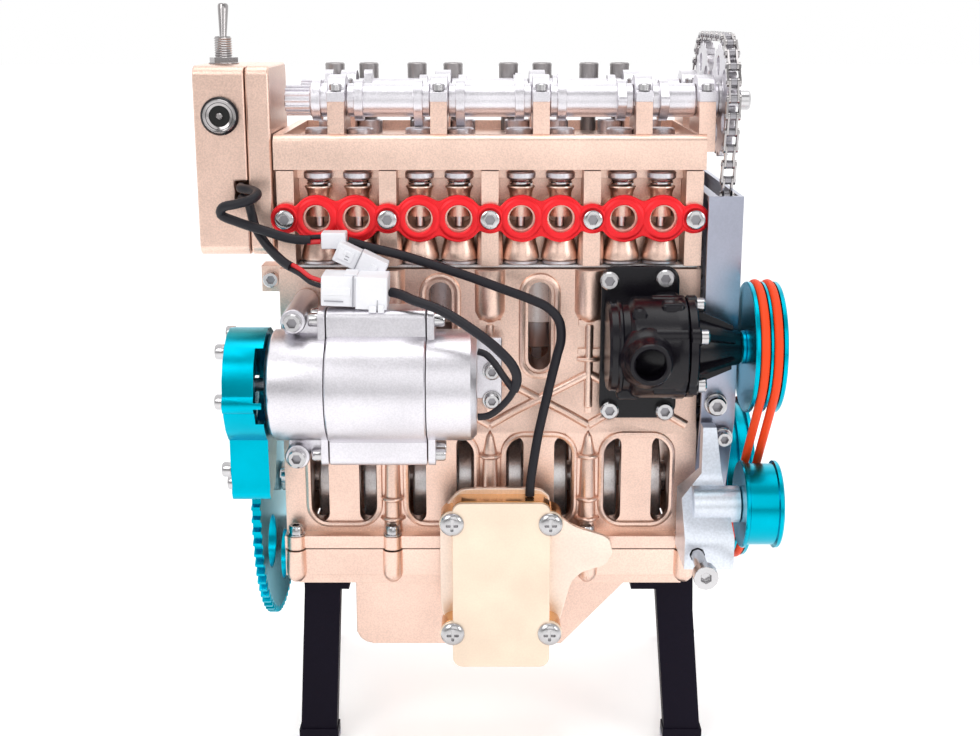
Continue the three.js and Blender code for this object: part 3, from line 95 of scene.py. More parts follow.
def axes_of(direction):
    """Unit vectors along a direction and to its two sides."""
    along = Vector(direction).normalized()
    helper = Vector((0, 0, 1)) if abs(along.z) < 0.9 else Vector((0, 1, 0))
    across = helper.cross(along).normalized()
    return along, across, along.cross(across)


# Sizes shared with the frame
CYLINDER_PITCH = 30.4
CYLINDERS = [(i - 1.5) * CYLINDER_PITCH for i in range(4)]
BULKHEADS = [(i - 2) * CYLINDER_PITCH for i in range(5)]
BARREL = -28
CRANKCASE = -31
RAIL_Z = -7.9
THROWS = [1, -1, -1, 1]
CRANK_THROW = 6
ROD_LENGTH = 60
HEAD_FACE = -31
PORT_Z = 91
PORT_OFFSET = 5.9
PORT_RADIUS = 4.1
PORTS = [x + hand * PORT_OFFSET for x in CYLINDERS for hand in (-1, 1)]
CAM_YS = {name: axis_of(f"{name}_cam_spin")[0] for name in ("exhaust", "intake")}
CAM_Z = axis_of("intake_cam_spin")[1]
TOWERS = [*CYLINDERS, 64.2]
LOBE_OFFSET = 6.3
LOBES = [x + hand * LOBE_OFFSET for x in CYLINDERS for hand in (-1, 1)]
LOBE_TURNS = [0, 0.75, 0.25, 0.5]
INTAKE_TURN = 0.3
SPROCKET_FACES = (68.8, 71.6)
CHAIN_X = 70.2
CHAIN_RADIUS = 18.5
TIMING_RADIUS = 9.25
TOOTH_MODULE = 1.236
RING_TEETH = 72
SMALL_TEETH = 14
STARTER_ANGLE = 0.7757 * pi
RING_PITCH = RING_TEETH * TOOTH_MODULE / 2
SMALL_PITCH = SMALL_TEETH * TOOTH_MODULE / 2
GEAR_Y, GEAR_Z = around(0, 0, RING_PITCH + SMALL_PITCH, STARTER_ANGLE)
MOTOR_Y, MOTOR_Z = around(0, 0, RING_PITCH + 3 * SMALL_PITCH, STARTER_ANGLE)
GEAR_FACES = (-72.6, -69.8)
LUG_X = -55.7
COLUMN_LIFT = 20
COLUMN_DEPTH = 6.5
COLUMN_FACES = {"front": (-48.9, -46.7), "body": (-46.4, -18.2), "rear": (-17.9, -15.7)}
PULLEY_LEFT = 75
PULLEY_RIGHT = 84.2
PUMP_Y, PUMP_Z = axis_of("pump_spin")
PUMP_SEAM = 56.9
PUMP_BOLTS = [around(PUMP_Y, PUMP_Z, 12.6, radians(turn)) for turn in (90, 154, 228, 300, 14)]
IDLER_Y, IDLER_Z = axis_of("belt_idler_spin")
FLOOR_Z = -77


# Meshes
def hexagon(angle):
    """How far a hexagon reaches at an angle, as a share of its corners' reach."""
    sixth = pi / 3
    return cos(sixth / 2) / cos((angle % sixth) - sixth / 2)


def cross(angle):
    """How far a cross reaches at an angle, as a share of its arms' reach."""
    half_width = 0.24
    return min(1, half_width / max(0.01, min(abs(sin(angle)), abs(cos(angle)))))


class Form:
    """Faces gathered in the engine's axes, in millimetres, that become one piece."""

    def __init__(self):
        self.points = []
        self.faces = []

    def add(self, points, faces):
        first = len(self.points)
        self.points += [Vector(point) for point in points]
        self.faces += [[first + i for i in face] for face in faces]
        return self

    def turned(self, base, direction, profile, sides=32):
        """Turns a profile of (distance, radius, ring shape) round a line through base.

        A profile that doesn't come back to its start is closed by a flat disc at either end.
        """
        if profile[0] != profile[-1]:
            profile = [(profile[0][0], 0), *profile, (profile[-1][0], 0)]
        along, across, up = axes_of(direction)
        base = Vector(base)
        points = []
        faces = []
        last = None
        for distance, radius, *shape in profile:
            middle = base + along * distance
            if radius == 0:
                ring = [len(points)]
                points.append(middle)
            else:
                ring = list(range(len(points), len(points) + sides))
                for angle in [tau * k / sides for k in range(sides)]:
                    reach = radius * (shape[0](angle) if shape else 1)
                    points.append(middle + spoke(across, up, angle) * reach)
            if last:
                for k in range(sides):
                    nearby = [last[k % len(last)], last[(k + 1) % len(last)],
                              ring[(k + 1) % len(ring)], ring[k % len(ring)]]
                    face = list(dict.fromkeys(nearby))
                    if len(face) > 2:
                        faces.append(face)
            last = ring
        return self.add(points, faces)

    def bar(self, base, direction, length, radius, edge=0.3, sides=32):
        """A round bar with chamfered ends."""
        return self.turned(base, direction, [
            (0, radius - edge), (edge, radius),
            (length - edge, radius), (length, radius - edge)], sides)

    def ring(self, base, direction, length, outer, inner, edge=0.3, sides=32):
        """A round sleeve with chamfered ends."""
        return self.turned(base, direction, [
            (edge, inner), (0, inner + edge), (0, outer - edge), (edge, outer),
            (length - edge, outer), (length, outer - edge), (length, inner + edge),
            (length - edge, inner), (edge, inner)], sides)

    def block(self, x0, x1, y0, y1, z0, z1, middle=(0, 0, 0), turn=Matrix.Identity(3)):
        """A box, turned about its own origin, which then moves to middle."""
        corners = [turn @ Vector((x, y, z)) + Vector(middle)
                   for x in (x0, x1) for y in (y0, y1) for z in (z0, z1)]
        return self.add(corners, [
            (0, 1, 3, 2), (4, 6, 7, 5), (0, 4, 5, 1), (2, 3, 7, 6), (0, 2, 6, 4), (1, 5, 7, 3)])

    def slab(self, near, far):
        """Two outlines of as many points, with a wall between them."""
        count = len(near)
        walls = [(k, (k + 1) % count, (k + 1) % count + count, k + count) for k in range(count)]
        self.add([*near, *far], [list(range(count)), list(range(count, 2 * count)), *walls])

    def prism(self, outline, x, thickness):
        """An outline in Y and Z given thickness about a place along X."""
        start = x - thickness / 2
        self.slab(*[[(start + along, y, z) for y, z in outline] for along in (0, thickness)])

    def tube(self, path, radius, sides=10, closed=False):
        """A round tube along a path of points."""
        path = [Vector(point) for point in path]
        count = len(path)
        points = []
        side = None
        for i, point in enumerate(path):
            before = path[i - 1] if closed or i else point
            after = path[(i + 1) % count] if closed or i < count - 1 else point
            along = (after - before).normalized()
            side = axes_of(along)[1] if side is None else (side - along * side.dot(along)).normalized()
            up = along.cross(side)
            points += [point + spoke(side, up, tau * k / sides) * radius for k in range(sides)]
        faces = []
        for i in range(count if closed else count - 1):
            nearer = i * sides
            further = ((i + 1) % count) * sides
            for k in range(sides):
                after = (k + 1) % sides
                faces.append((nearer + k, nearer + after, further + after, further + k))
        if not closed:
            faces += [list(range(sides))[::-1], list(range((count - 1) * sides, count * sides))]
        return self.add(points, faces)

    def socket_screw(self, seat, direction, radius, height, socket_shades=None):
        """A cap screw's head; a second form, if given, gets a dark disc at the floor of its hexagon socket,
        painted shade.
        """
        socket = radius * 0.56
        # The dark disc at the floor of the socket is painted shade, not a different metal.
        if socket_shades:
            floor = Vector(seat) + axes_of(direction)[0] * 0.42 * height
            shade_radius = 0.94 * socket
            socket_shades.turned(floor, direction, [
                (0, shade_radius, hexagon), (0.12, shade_radius, hexagon)], 24)
        self.turned(seat, direction, [
            (0, radius), (0.82 * height, radius), (height, 0.84 * radius),
            (height, socket, hexagon), (0.4 * height, socket, hexagon)], 24)

    def cross_screw(self, seat, direction, radius, height):
        """A domed screw head with a cross recess."""
        recess = radius * 0.52
        self.turned(seat, direction, [
            (0, radius), (0.35 * height, radius), (0.75 * height, 0.86 * radius),
            (height, 0.6 * radius), (height, recess, cross), (0.25 * height, 0.9 * recess, cross),
            (0.2 * height, 0)], 48)

    def make(self, name, finish, body="engine", *replaced, edge=0):
        """Turns the form into a piece that rides on a body and stands for CAD nodes."""
        mesh = bpy.data.meshes.new(name)
        mesh.from_pydata([row(*point) for point in self.points], [], self.faces)
        return dress(name, mesh, finish, body, replaced, edge)


WELD = 0.002 * MM


def new_object(name, data):
    thing = bpy.data.objects.new(name, data)
    bpy.context.scene.collection.objects.link(thing)
    return thing


def dress(name, mesh, finish, body, replaced, edge=0, sharp=38, flat=0):
    """Makes a piece from a mesh, with bevels of width edge or else creases from the angle sharp.

    Faces that meet at less than the angle flat become one.
    """
    tidy = bmesh.new()
    tidy.from_mesh(mesh)
    bmesh.ops.remove_doubles(tidy, verts=tidy.verts, dist=WELD)
    if flat:
        bmesh.ops.dissolve_limit(tidy, angle_limit=radians(flat), verts=tidy.verts, edges=tidy.edges)
    bmesh.ops.recalc_face_normals(tidy, faces=tidy.faces)
    tidy.to_mesh(mesh)
    tidy.free()
    mesh.shade_smooth()
    thing = new_object(name, mesh)
    mesh.materials.append(material(finish))
    if edge:
        soften(thing, edge)
    else:
        mesh.set_sharp_from_angle(angle=radians(sharp))
    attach(thing, body)
    if replaced:
        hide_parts(*replaced)
    return thing


def soften(thing, edge):
    """Rounds the sharp edges of a piece."""
    bevel = thing.modifiers.new("edges", "BEVEL")
    bevel.width = edge * MM
    bevel.segments = 2
    bevel.limit_method = "ANGLE"
    bevel.angle_limit = radians(50)
    bevel.harden_normals = True
    normals = thing.modifiers.new("normals", "WEIGHTED_NORMAL")
    normals.keep_sharp = True


def carry(node, finish, edge):
    """Copies a CAD node's shape with rounded edges and shows the copy in its place."""
    source = frame["nodes"][node]
    mesh = source.data.copy()
    mesh.materials.clear()
    if "custom_normal" in mesh.attributes:
        mesh.attributes.remove(mesh.attributes["custom_normal"])
    dress(f"{node}_skin", mesh, finish, source["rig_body"], (node,), edge, flat=0.6)


def plate(name, loops, axis, start, end, finish, body="engine", *replaced, edge=0.3):
    """A flat plate with rounded edges from outline loops, the later ones holes.

    Along X an outline is drawn in Y and Z, and along Y in X and Z.
    """
    curve = bpy.data.curves.new(name, "CURVE")
    curve.dimensions = "2D"
    curve.fill_mode = "BOTH"
    for loop in loops:
        spline = curve.splines.new("POLY")
        spline.points.add(len(loop) - 1)
        for point, (a, b) in zip(spline.points, loop):
            point.co = (a, b, 0, 1)
        spline.use_cyclic_u = True
    curve.extrude = (end - start) / 2 - edge
    curve.bevel_depth = edge
    curve.bevel_resolution = 1
    curve.offset = -edge
    thing = new_object(name, curve)
    bpy.context.view_layer.update()
    mesh = bpy.data.meshes.new_from_object(thing.evaluated_get(bpy.context.evaluated_depsgraph_get()))
    bpy.data.objects.remove(thing)
    middle = (start + end) / 2
    turn = {"X": ((0, 0, 1), (1, 0, 0), (0, 1, 0)), "Y": ((1, 0, 0), (0, 0, -1), (0, 1, 0))}[axis]
    place = Matrix(turn).to_4x4()
    place.translation = (middle, 0, 0) if axis == "X" else (0, middle, 0)
    mesh.transform(Matrix.Translation(origin) @ Matrix.Scale(MM, 4) @ place)
    mesh.materials.clear()
    dress(name, mesh, finish, body, replaced, sharp=20)


# Outlines and paths
def circle(a, b, radius, sides=32):
    return [around(a, b, radius, tau * k / sides) for k in range(sides)]


def rounded(a0, a1, b0, b1, radius, steps=6):
    """A rectangle's outline with round corners."""
    left, right, low, high = a0 + radius, a1 - radius, b0 + radius, b1 - radius
    corners = ((right, low), (right, high), (left, high), (left, low))
    return [around(a, b, radius, (quarter + k / steps) * pi / 2)
            for quarter, (a, b) in enumerate(corners, -1) for k in range(steps + 1)]


def smooth_loop(corners, share=0.28, steps=5):
    """An outline with its corners rounded off, each over a share of its two sides."""
    points = []
    for i, corner in enumerate(corners):
        here = Vector(corner)
        start = here.lerp(Vector(corners[i - 1]), share)
        end = here.lerp(Vector(corners[(i + 1) % len(corners)]), share)
        for t in [k / steps for k in range(steps + 1)]:
            points.append(start * (1 - t) ** 2 + here * 2 * t * (1 - t) + end * t ** 2)
    return points


def toothed(y, z, teeth, tip, root, first_angle):
    """A gear's outline, each tooth wider at its root than at its tip."""
    step = tau / teeth
    tooth_share = 0.42
    root_half = tooth_share * step / 2 + step / 12
    tip_half = tooth_share * step / 2 - step / 12
    tooth = ((root, -root_half), (tip, -tip_half), (tip, tip_half), (root, root_half))
    return [around(y, z, radius, first_angle + i * step + turn)
            for i in range(teeth) for radius, turn in tooth]


def smooth_path(points, step=1.0):
    """Evenly spaced points on a centripetal curve through given ones."""
    points = [Vector(point) for point in points]
    ends = [points[0] * 2 - points[1], *points, points[-1] * 2 - points[-2]]
    path = []
    for corners in zip(ends, ends[1:], ends[2:], ends[3:]):
        gaps = [sqrt((b - a).length) for a, b in zip(corners, corners[1:])]
        times = [0, gaps[0], gaps[0] + gaps[1], sum(gaps)]
        count = max(2, round((corners[2] - corners[1]).length / step))
        for k in range(count):
            path.append(on_curve(corners, times, times[1] + gaps[1] * k / count))
    return [*path, points[-1]]


def on_curve(corners, times, time):
    def between(a, b, start, end):
        return a.lerp(b, (time - start) / (end - start))

    first = [between(corners[i], corners[i + 1], times[i], times[i + 1]) for i in range(3)]
    second = [between(first[i], first[i + 1], times[i], times[i + 2]) for i in range(2)]
    return between(second[0], second[1], times[1], times[2])


def belt_line(wheels, offset, turn_step=pi / 24):
    """The line round wheels of (y, z, radius, side) in turn; side is -1 outside the loop."""
    runs = []
    for (y, z, radius, side), (next_y, next_z, next_radius, next_side) in zip(
            wheels, [*wheels[1:], wheels[0]]):
        change = next_side * next_radius - side * radius
        away = hypot(next_y - y, next_z - z)
        runs.append(atan2(next_z - z, next_y - y) - asin(change / away))
    points = []
    for i, (y, z, radius, side) in enumerate(wheels):
        arriving = runs[i - 1]
        turn = (runs[i] - arriving) % tau
        if side < 0:
            turn -= tau
        reach = side * radius + offset
        steps = max(2, ceil(abs(turn) / turn_step))
        for k in range(steps + 1):
            heading = arriving + turn * k / steps
            points.append((y + reach * sin(heading), z - reach * cos(heading)))
    return points


# Finishes: rough varies by spread, grain is the depth of a fine noise of a size in millimetres,
# and speckle is how much that noise changes the tone
Finish = namedtuple(
    "Finish", "slot color metal rough grain size speckle spread shine", defaults=(0.01, 0.08, 0.5))
FINISHES = {
    "gold": Finish("gold", (0.85, 0.61, 0.51), 1, 0.34, 0.45, 0.5, speckle=0.07),
    "pale_gold": Finish("pale_gold", (0.90, 0.73, 0.58), 0.7, 0.38, 0.1, 0.6, speckle=0.02),
    "arm_gold": Finish("pale_gold", (0.95, 0.79, 0.68), 0.8, 0.38, 0.3, 0.7, speckle=0.04),
    "edge_gold": Finish("pale_gold", (0.78, 0.42, 0.17), 1, 0.22, 0.05, 0.4),
    "silver": Finish("silver", (0.72, 0.70, 0.74), 1, 0.33, 0.35, 0.5, speckle=0.05),
    "bore_silver": Finish("silver", (0.96, 0.95, 0.98), 0.3, 0.3, 0.1, 0.5, speckle=0.02),
    "steel": Finish("steel", (0.54, 0.53, 0.54), 1, 0.2, 0.04, 0.6),
    "chrome": Finish("steel", (0.40, 0.38, 0.38), 1, 0.15, 0.02, 0.6, spread=0.05),
    # The crank webs' steel is near white to make up for light that hardly reaches them inside the block:
    # painted light.
    "web_steel_painted_light": Finish("steel", (0.99, 0.96, 0.98), 0.75, 0.32, 0.3, 0.6, speckle=0.08),
    "dark_steel": Finish("dark_steel", (0.30, 0.29, 0.31), 0.8, 0.32, 0.06, 0.6),
    # Near-black, matte: painted shade for the inside of a hole.
    "painted_shade_black": Finish("dark_steel", (0.004, 0.004, 0.004), 0, 0.8, 0.1, 0.6),
    "teal": Finish("teal", (0.0, 0.43, 0.58), 1, 0.26, 0.006, 0.9, spread=0.02),
    "red": Finish("red", (0.88, 0.014, 0.022), 0.5, 0.34, 0.01, 0.5, spread=0.03),
    "orange": Finish("orange", (0.88, 0.065, 0.008), 0, 0.5, 0.12, 0.5, shine=0.25),
    "black_gloss": Finish("black_gloss", (0.004, 0.003, 0.006), 0, 0.24, 0.2, 0.5, shine=0.3),
    "black": Finish("black", (0.005, 0.003, 0.010), 0, 0.5, 0.3, 0.4, shine=0.12),
    "foot_grey": Finish("black", (0.34, 0.35, 0.42), 0, 0.6, 0.2, 0.4),
    "cover_grey": Finish("blue_grey", (0.40, 0.415, 0.50), 1, 0.32, 0.15, 0.6, speckle=0.03),
    "bracket_silver": Finish("blue_grey", (0.74, 0.78, 0.86), 0.9, 0.36, 0.3, 0.7, speckle=0.06),
    "post_grey": Finish("blue_grey", (0.34, 0.32, 0.32), 0.8, 0.4, 0.2, 0.5),
    "cable": Finish("cable", (0.012, 0.011, 0.016), 0, 0.46, 0.2, 0.5, shine=0.3),
    "wire_red": Finish("cable", (0.62, 0.015, 0.02), 0, 0.4, 0.08, 0.5),
    "white": Finish("white", (0.80, 0.80, 0.84), 0, 0.42, 0.08, 0.8),
    # Dark grey strips on the plugs: painted shade in their grooves, slots and seam.
    "plug_groove_shade": Finish("white", (0.30, 0.30, 0.33), 0, 0.5, 0.08, 0.8),
}
GRAIN_DEPTH = 0.12 * MM
BROAD_SCALE = 60


def fill_inputs(tree, node, inputs):
    """Sets a node's inputs by name: a socket is linked, anything else is a value."""
    for name, value in inputs.items():
        if isinstance(value, bpy.types.NodeSocket):
            tree.links.new(value, node.inputs[name])
        else:
            node.inputs[name].default_value = value


def add_node(tree, kind, inputs, **settings):
    node = tree.nodes.new(f"ShaderNode{kind}")
    for name, value in settings.items():
        setattr(node, name, value)
    fill_inputs(tree, node, inputs)
    return node


def material(finish):
    """A material whose colour, gloss and surface vary by fine and broad noise, and whose sharp edges are
    lighter: partly edge wear, partly painted highlight.
    """
    name = f"{finish}_finish"
    if name in bpy.data.materials:
        return bpy.data.materials[name]
    look = FINISHES[finish]
    made = bpy.data.materials.new(name)
    made.use_nodes = True
    tree = made.node_tree

    def tint(share, lift=0):
        return (*[min(1, share * part + lift) for part in look.color], 1)

    place = add_node(tree, "TexCoord", {}).outputs["Object"]
    fine, broad = [
        add_node(tree, "TexNoise", {"Vector": place, "Scale": scale, "Detail": detail}).outputs["Fac"]
        for scale, detail in ((1 / (look.size * MM), 3), (BROAD_SCALE, 4))]
    tone = add_node(tree, "ValToRGB", {"Fac": broad})
    for stop, position, share in zip(tone.color_ramp.elements, (0.3, 0.7), (0.9, 1.05)):
        stop.position = position
        stop.color = tint(share)
    geometry = add_node(tree, "NewGeometry", {})
    # Sharp edges are made lighter, partly as edge wear and partly as a painted highlight along them.
    edge_wear_and_highlight = add_node(tree, "MapRange", {
        "Value": geometry.outputs["Pointiness"], "From Min": 0.54, "From Max": 0.68, "To Max": 0.5})
    worn_and_highlit = add_node(tree, "Mix", {
        "Factor": edge_wear_and_highlight.outputs["Result"], "A": tone.outputs["Color"], "B": tint(1.25, 0.002),
    }, data_type="RGBA")
    speck = add_node(tree, "MapRange", {
        "Value": fine, "From Min": 0.38, "From Max": 0.62,
        "To Min": 1 - look.speckle, "To Max": 1 + look.speckle})
    flecked = add_node(tree, "VectorMath", {
        "Vector": worn_and_highlit.outputs["Result"], "Scale": speck.outputs["Result"]}, operation="SCALE")
    gloss = add_node(tree, "MapRange", {
        "Value": fine, "To Min": look.rough - look.spread, "To Max": look.rough + look.spread})
    bump = add_node(tree, "Bump", {"Height": fine, "Strength": look.grain, "Distance": GRAIN_DEPTH})
    fill_inputs(tree, tree.nodes["Principled BSDF"], {
        "Base Color": flecked.outputs["Vector"], "Metallic": look.metal, "Specular IOR Level": look.shine,
        "Roughness": gloss.outputs["Result"], "Normal": bump.outputs["Normal"]})
    return made


# Camera, light and floor; the camera's clip and the floor's size are in metres
CAMERA_PLACE = (0, -446.5, 150)
CAMERA_PITCH = 14.2
CAMERA_CLIP = 20
LENS = 51.43
SENSOR_WIDTH = 36
LAMP_AIM = (0, 0, 50)
LAMPS = {
    "key": ((-420, -520, 520), 420, 1.6),
    "front": ((120, -700, 330), 500, 0.8),
    "fill": ((520, -420, 260), 260, 0.7),
    "top": ((0, -40, 620), 380, 0.75),
    "rear": ((0, 520, 420), 500, 0.4),
}
FLOOR_SIZE = 12


def studio():
    camera_data = bpy.data.cameras.new("camera")
    camera_data.sensor_width = SENSOR_WIDTH
    camera_data.lens = LENS
    camera_data.clip_end = CAMERA_CLIP
    camera = new_object("camera", camera_data)
    camera.location = row(*CAMERA_PLACE)
    camera.rotation_euler = (radians(90 - CAMERA_PITCH), 0, 0)
    bpy.context.scene.camera = camera
    bpy.context.scene.view_settings.view_transform = "Standard"
    sky()
    for name, (place, size, power) in LAMPS.items():
        lamp_data = bpy.data.lights.new(name, "AREA")
        lamp_data.size = size * MM
        lamp_data.energy = power
        lamp = new_object(name, lamp_data)
        lamp.location = row(*place)
        lamp.rotation_euler = (row(*LAMP_AIM) - lamp.location).to_track_quat("-Z", "Y").to_euler()
    paint = bpy.data.materials.new("floor")
    paint.use_nodes = True
    fill_inputs(paint.node_tree, paint.node_tree.nodes["Principled BSDF"], {
        "Base Color": (0.97, 0.97, 0.97, 1), "Roughness": 0.16,
        "Emission Color": (1, 1, 1, 1), "Emission Strength": 0.25})
    bpy.ops.mesh.primitive_plane_add(size=FLOOR_SIZE)
    floor = bpy.context.object
    floor.data.materials.append(paint)


def sky():
    """A white room that is dimmer towards the front, so that the metal has shape."""
    world = bpy.data.worlds.new("studio")
    world.use_nodes = True
    tree = world.node_tree
    place = add_node(tree, "TexCoord", {})
    parts = add_node(tree, "SeparateXYZ", {"Vector": place.outputs["Generated"]})
    depth = add_node(tree, "MapRange", {
        "Value": parts.outputs["Y"], "From Min": -0.9, "From Max": 0.1, "To Min": 0.36, "To Max": 1})
    fill_inputs(tree, tree.nodes["Background"], {"Color": (1, 1, 1, 1), "Strength": depth.outputs["Result"]})
    bpy.context.scene.world = world


# Leads: their routes are those of the frame's solids, and a bare end is in steps of a millimetre
LEAD_RADIUS = 1.4
BARE_ENDS = {"lead_to_small_plug": 3, "lead_to_large_plug": 12, "lead_to_motor": 15}
LEADS = {
    "lead_to_small_plug": [
        (-73.9, -30.3, 100.1), (-73.3, -33.6, 100.1), (-69.7, -36.6, 99.9), (-67.6, -40, 99.2),
        (-69.2, -43, 97.9), (-73.2, -43.6, 96.8), (-77.4, -42.4, 95.6), (-78.2, -41, 93.4),
        (-73.4, -41, 91.2), (-66.5, -41, 88.9), (-58.4, -41, 86.4), (-53.4, -40.6, 85.9),
        (-49.6, -40.5, 86.1),
    ],
    "lead_to_large_plug": [
        (-73.9, -30.3, 96.9), (-71.5, -33.4, 96), (-70.1, -35.6, 92.5), (-69.2, -36.6, 89.4),
        (-66.7, -38.5, 85.6), (-63.8, -41, 82.7), (-59.5, -45, 79.8), (-54.7, -49, 78),
        (-51.4, -51.8, 76.2), (-48.3, -53.2, 75.4),
    ],
    "lead_to_gearbox": [
        (-41.6, -40, 85.4), (-34.6, -39.6, 83.4), (-26.4, -39.8, 81.4), (-17.6, -40.6, 78.8),
        (-5.9, -41, 75), (2.9, -41.4, 71.8), (11.8, -41.6, 68.5), (17.1, -41.6, 65.9),
        (20.4, -41.6, 62), (21.1, -41.6, 56.4), (19.9, -41.6, 51.2), (18.2, -41.8, 43.9),
        (16.5, -42, 36.2), (14.5, -42.6, 27), (13, -43.4, 17.8), (12.2, -43.8, 11.5), (12.1, -43.8, 8.2),
    ],
    "lead_to_motor": [
        (-28.1, -55, 73.2), (-25.2, -57, 72.9), (-21.9, -60, 72), (-13.9, -64, 69.9), (-5.5, -68, 65.6),
        (1.4, -70.5, 60.8), (6.1, -70.5, 55.7), (7.5, -69.5, 51.7), (6.2, -68.6, 47.1),
        (2.8, -67.6, 42.6), (-0.6, -66.4, 39.9), (-3.4, -66, 39.4),
    ],
}
MOTOR_WIRE = [(-3.4, -60, 57), (-1.4, -60.6, 56.5), (1, -62.6, 54.6), (3.6, -66, 51.6), (6.2, -68.8, 48.6)]
MOTOR_WIRE_RADIUS = 1
PLUG_WIRE_RADIUS = 0.68
PLUG_WIRE_SHIFT = Vector((0, 0.35, 0.7))


def bare_wires(name, end):
    """The two thin wires that leave the end of a sheath, as (finish, radius, path)."""
    if name == "lead_to_motor":
        return [("cable", MOTOR_WIRE_RADIUS, line) for line in (end, smooth_path(MOTOR_WIRE))]
    shift = PLUG_WIRE_SHIFT if name == "lead_to_large_plug" else -PLUG_WIRE_SHIFT
    return [("wire_red", PLUG_WIRE_RADIUS, [point + shift for point in end]),
            ("cable", PLUG_WIRE_RADIUS, [point - shift for point in end])]


def leads():
    for name, route in LEADS.items():
        path = smooth_path(route)
        bare = BARE_ENDS.get(name, 0)
        sheath = path[:len(path) - bare]
        tube = Form().tube(sheath, LEAD_RADIUS, 16).make(f"{name}_sheath", "cable", "engine", name)
        wires = bare_wires(name, path[-bare - 2:]) if bare else []
        for number, (finish, radius, line) in enumerate(wires, 1):
            Form().tube(line, radius, 12).make(f"{name}_wire_{number}", finish)


studio()
leads()

# Pieces that keep the frame's shape, with the width of each one's rounded edges
for finish, edges in (
    ("gold", {"cylinder_block": 0.35, "oil_sump": 0.6, "cylinder_head": 0.3, "cam_carrier": 0.35}),
    ("cover_grey", {"timing_cover": 0.5}),
    ("bore_silver", {"liner_set": 0.2}),
    ("teal", {"gear_housing": 0.5}),
    ("gold", {"battery_box": 0.7, "battery_lid": 0.7}),
    ("bracket_silver", {"idler_bracket": 0.4}),
    ("black", {"stand_left": 0.5, "stand_right": 0.5}),
    ("white", {"small_plug": 0.35, "large_plug": 0.4}),
    ("steel", {"adjuster_screw": 0.2}),
    ("silver", {f"connecting_rod_{i}": 0.3 for i in range(1, 5)}),
    ("steel", {f"{kind}_{i}": 0.1 for kind in ("small_end_bush", "wrist_pin") for i in range(1, 5)}),
):
    for node, edge in edges.items():
        carry(node, finish, edge)


# Crank train
def crankshaft():
    web_inner = 4.7
    web_outer = 9.7
    web_radius = 17
    pin_radius = 4
    journal_radius = 5
    end_radius = 3
    journals_left = -69.5
    journals_right = 74.7
    nose_left = 74
    shaft = Form()
    for x, throw in zip(CYLINDERS, THROWS):
        for side in (-1, 1):
            shaft.bar(
                (x + side * web_inner, 0, 0), (side, 0, 0), web_outer - web_inner, web_radius, 0.6, 64)
        shaft.bar((x - web_inner, 0, throw * CRANK_THROW), RIGHT, 2 * web_inner, pin_radius, 0.05)
    starts = [journals_left, *[x + web_outer for x in CYLINDERS]]
    ends = [*[x - web_outer for x in CYLINDERS], journals_right]
    for start, end in zip(starts, ends):
        shaft.bar((start, 0, 0), RIGHT, end - start, journal_radius)
    shaft.bar((GEAR_FACES[0], 0, 0), RIGHT, 4, end_radius)
    shaft.bar((nose_left, 0, 0), RIGHT, PULLEY_RIGHT - nose_left, end_radius)
    # The webs' near-white steel is painted light.
    shaft.make("crankshaft_dressed", "web_steel_painted_light", "crank", "crankshaft")
    teeth = toothed(0, 0, 12, 7.5, 6.3, pi / 2)
    plate("timing_sprocket", [teeth], "X", *SPROCKET_FACES, "steel", "crank", edge=0.2)


def piston(number, x, throw):
    """A piston with three ring grooves, hollow under its crown."""
    skirt = 10.7
    groove_radius = 10.2
    grooves = [
        (z + step, radius) for z in (3.6, 5.4, 7.2)
        for step, radius in ((-0.45, 10.68), (-0.4, groove_radius), (0.4, groove_radius), (0.45, 10.68))]
    pin_z = throw * CRANK_THROW + ROD_LENGTH
    side = "outer" if throw > 0 else "inner"
    Form().turned((x, 0, pin_z), UP, [
        (5.9, 9.2), (-7.5, 9.6), (-7.5, 10.5), (-7.2, skirt),
        *grooves, (8.1, skirt), (8.5, 10.3)], 64,
    ).make(f"piston_{number}_dressed", "dark_steel", f"pistons_{side}", f"piston_{number}")


crankshaft()
for number, (x, throw) in enumerate(zip(CYLINDERS, THROWS), 1):
    piston(number, x, throw)


# Starter gears
def gear(name, y, z, teeth, first_angle, finish, body, edge, *holes):
    """A gear on the starter's line, in place of the node of its name."""
    pitch_radius = teeth * TOOTH_MODULE / 2
    tip = pitch_radius + 0.6 * TOOTH_MODULE
    outline = toothed(y, z, teeth, tip, pitch_radius - TOOTH_MODULE, first_angle)
    plate(f"{name}_dressed", [outline, *holes], "X", *GEAR_FACES, finish, body, name, edge=edge)


windows = [circle(*around(0, 0, 0.63 * RING_PITCH, (i + 0.5) * pi / 3), 8.4) for i in range(6)]
gear("flywheel_gear", 0, 0, RING_TEETH, STARTER_ANGLE, "teal", "crank", 0.25, circle(0, 0, 3.3), *windows)
gear("idler_gear", GEAR_Y, GEAR_Z, SMALL_TEETH, STARTER_ANGLE + pi + pi / SMALL_TEETH,
     "teal", "idler_gear_body", 0.2)
gear("starter_pinion", MOTOR_Y, MOTOR_Z, SMALL_TEETH, STARTER_ANGLE + pi, "silver", "pinion", 0.2)


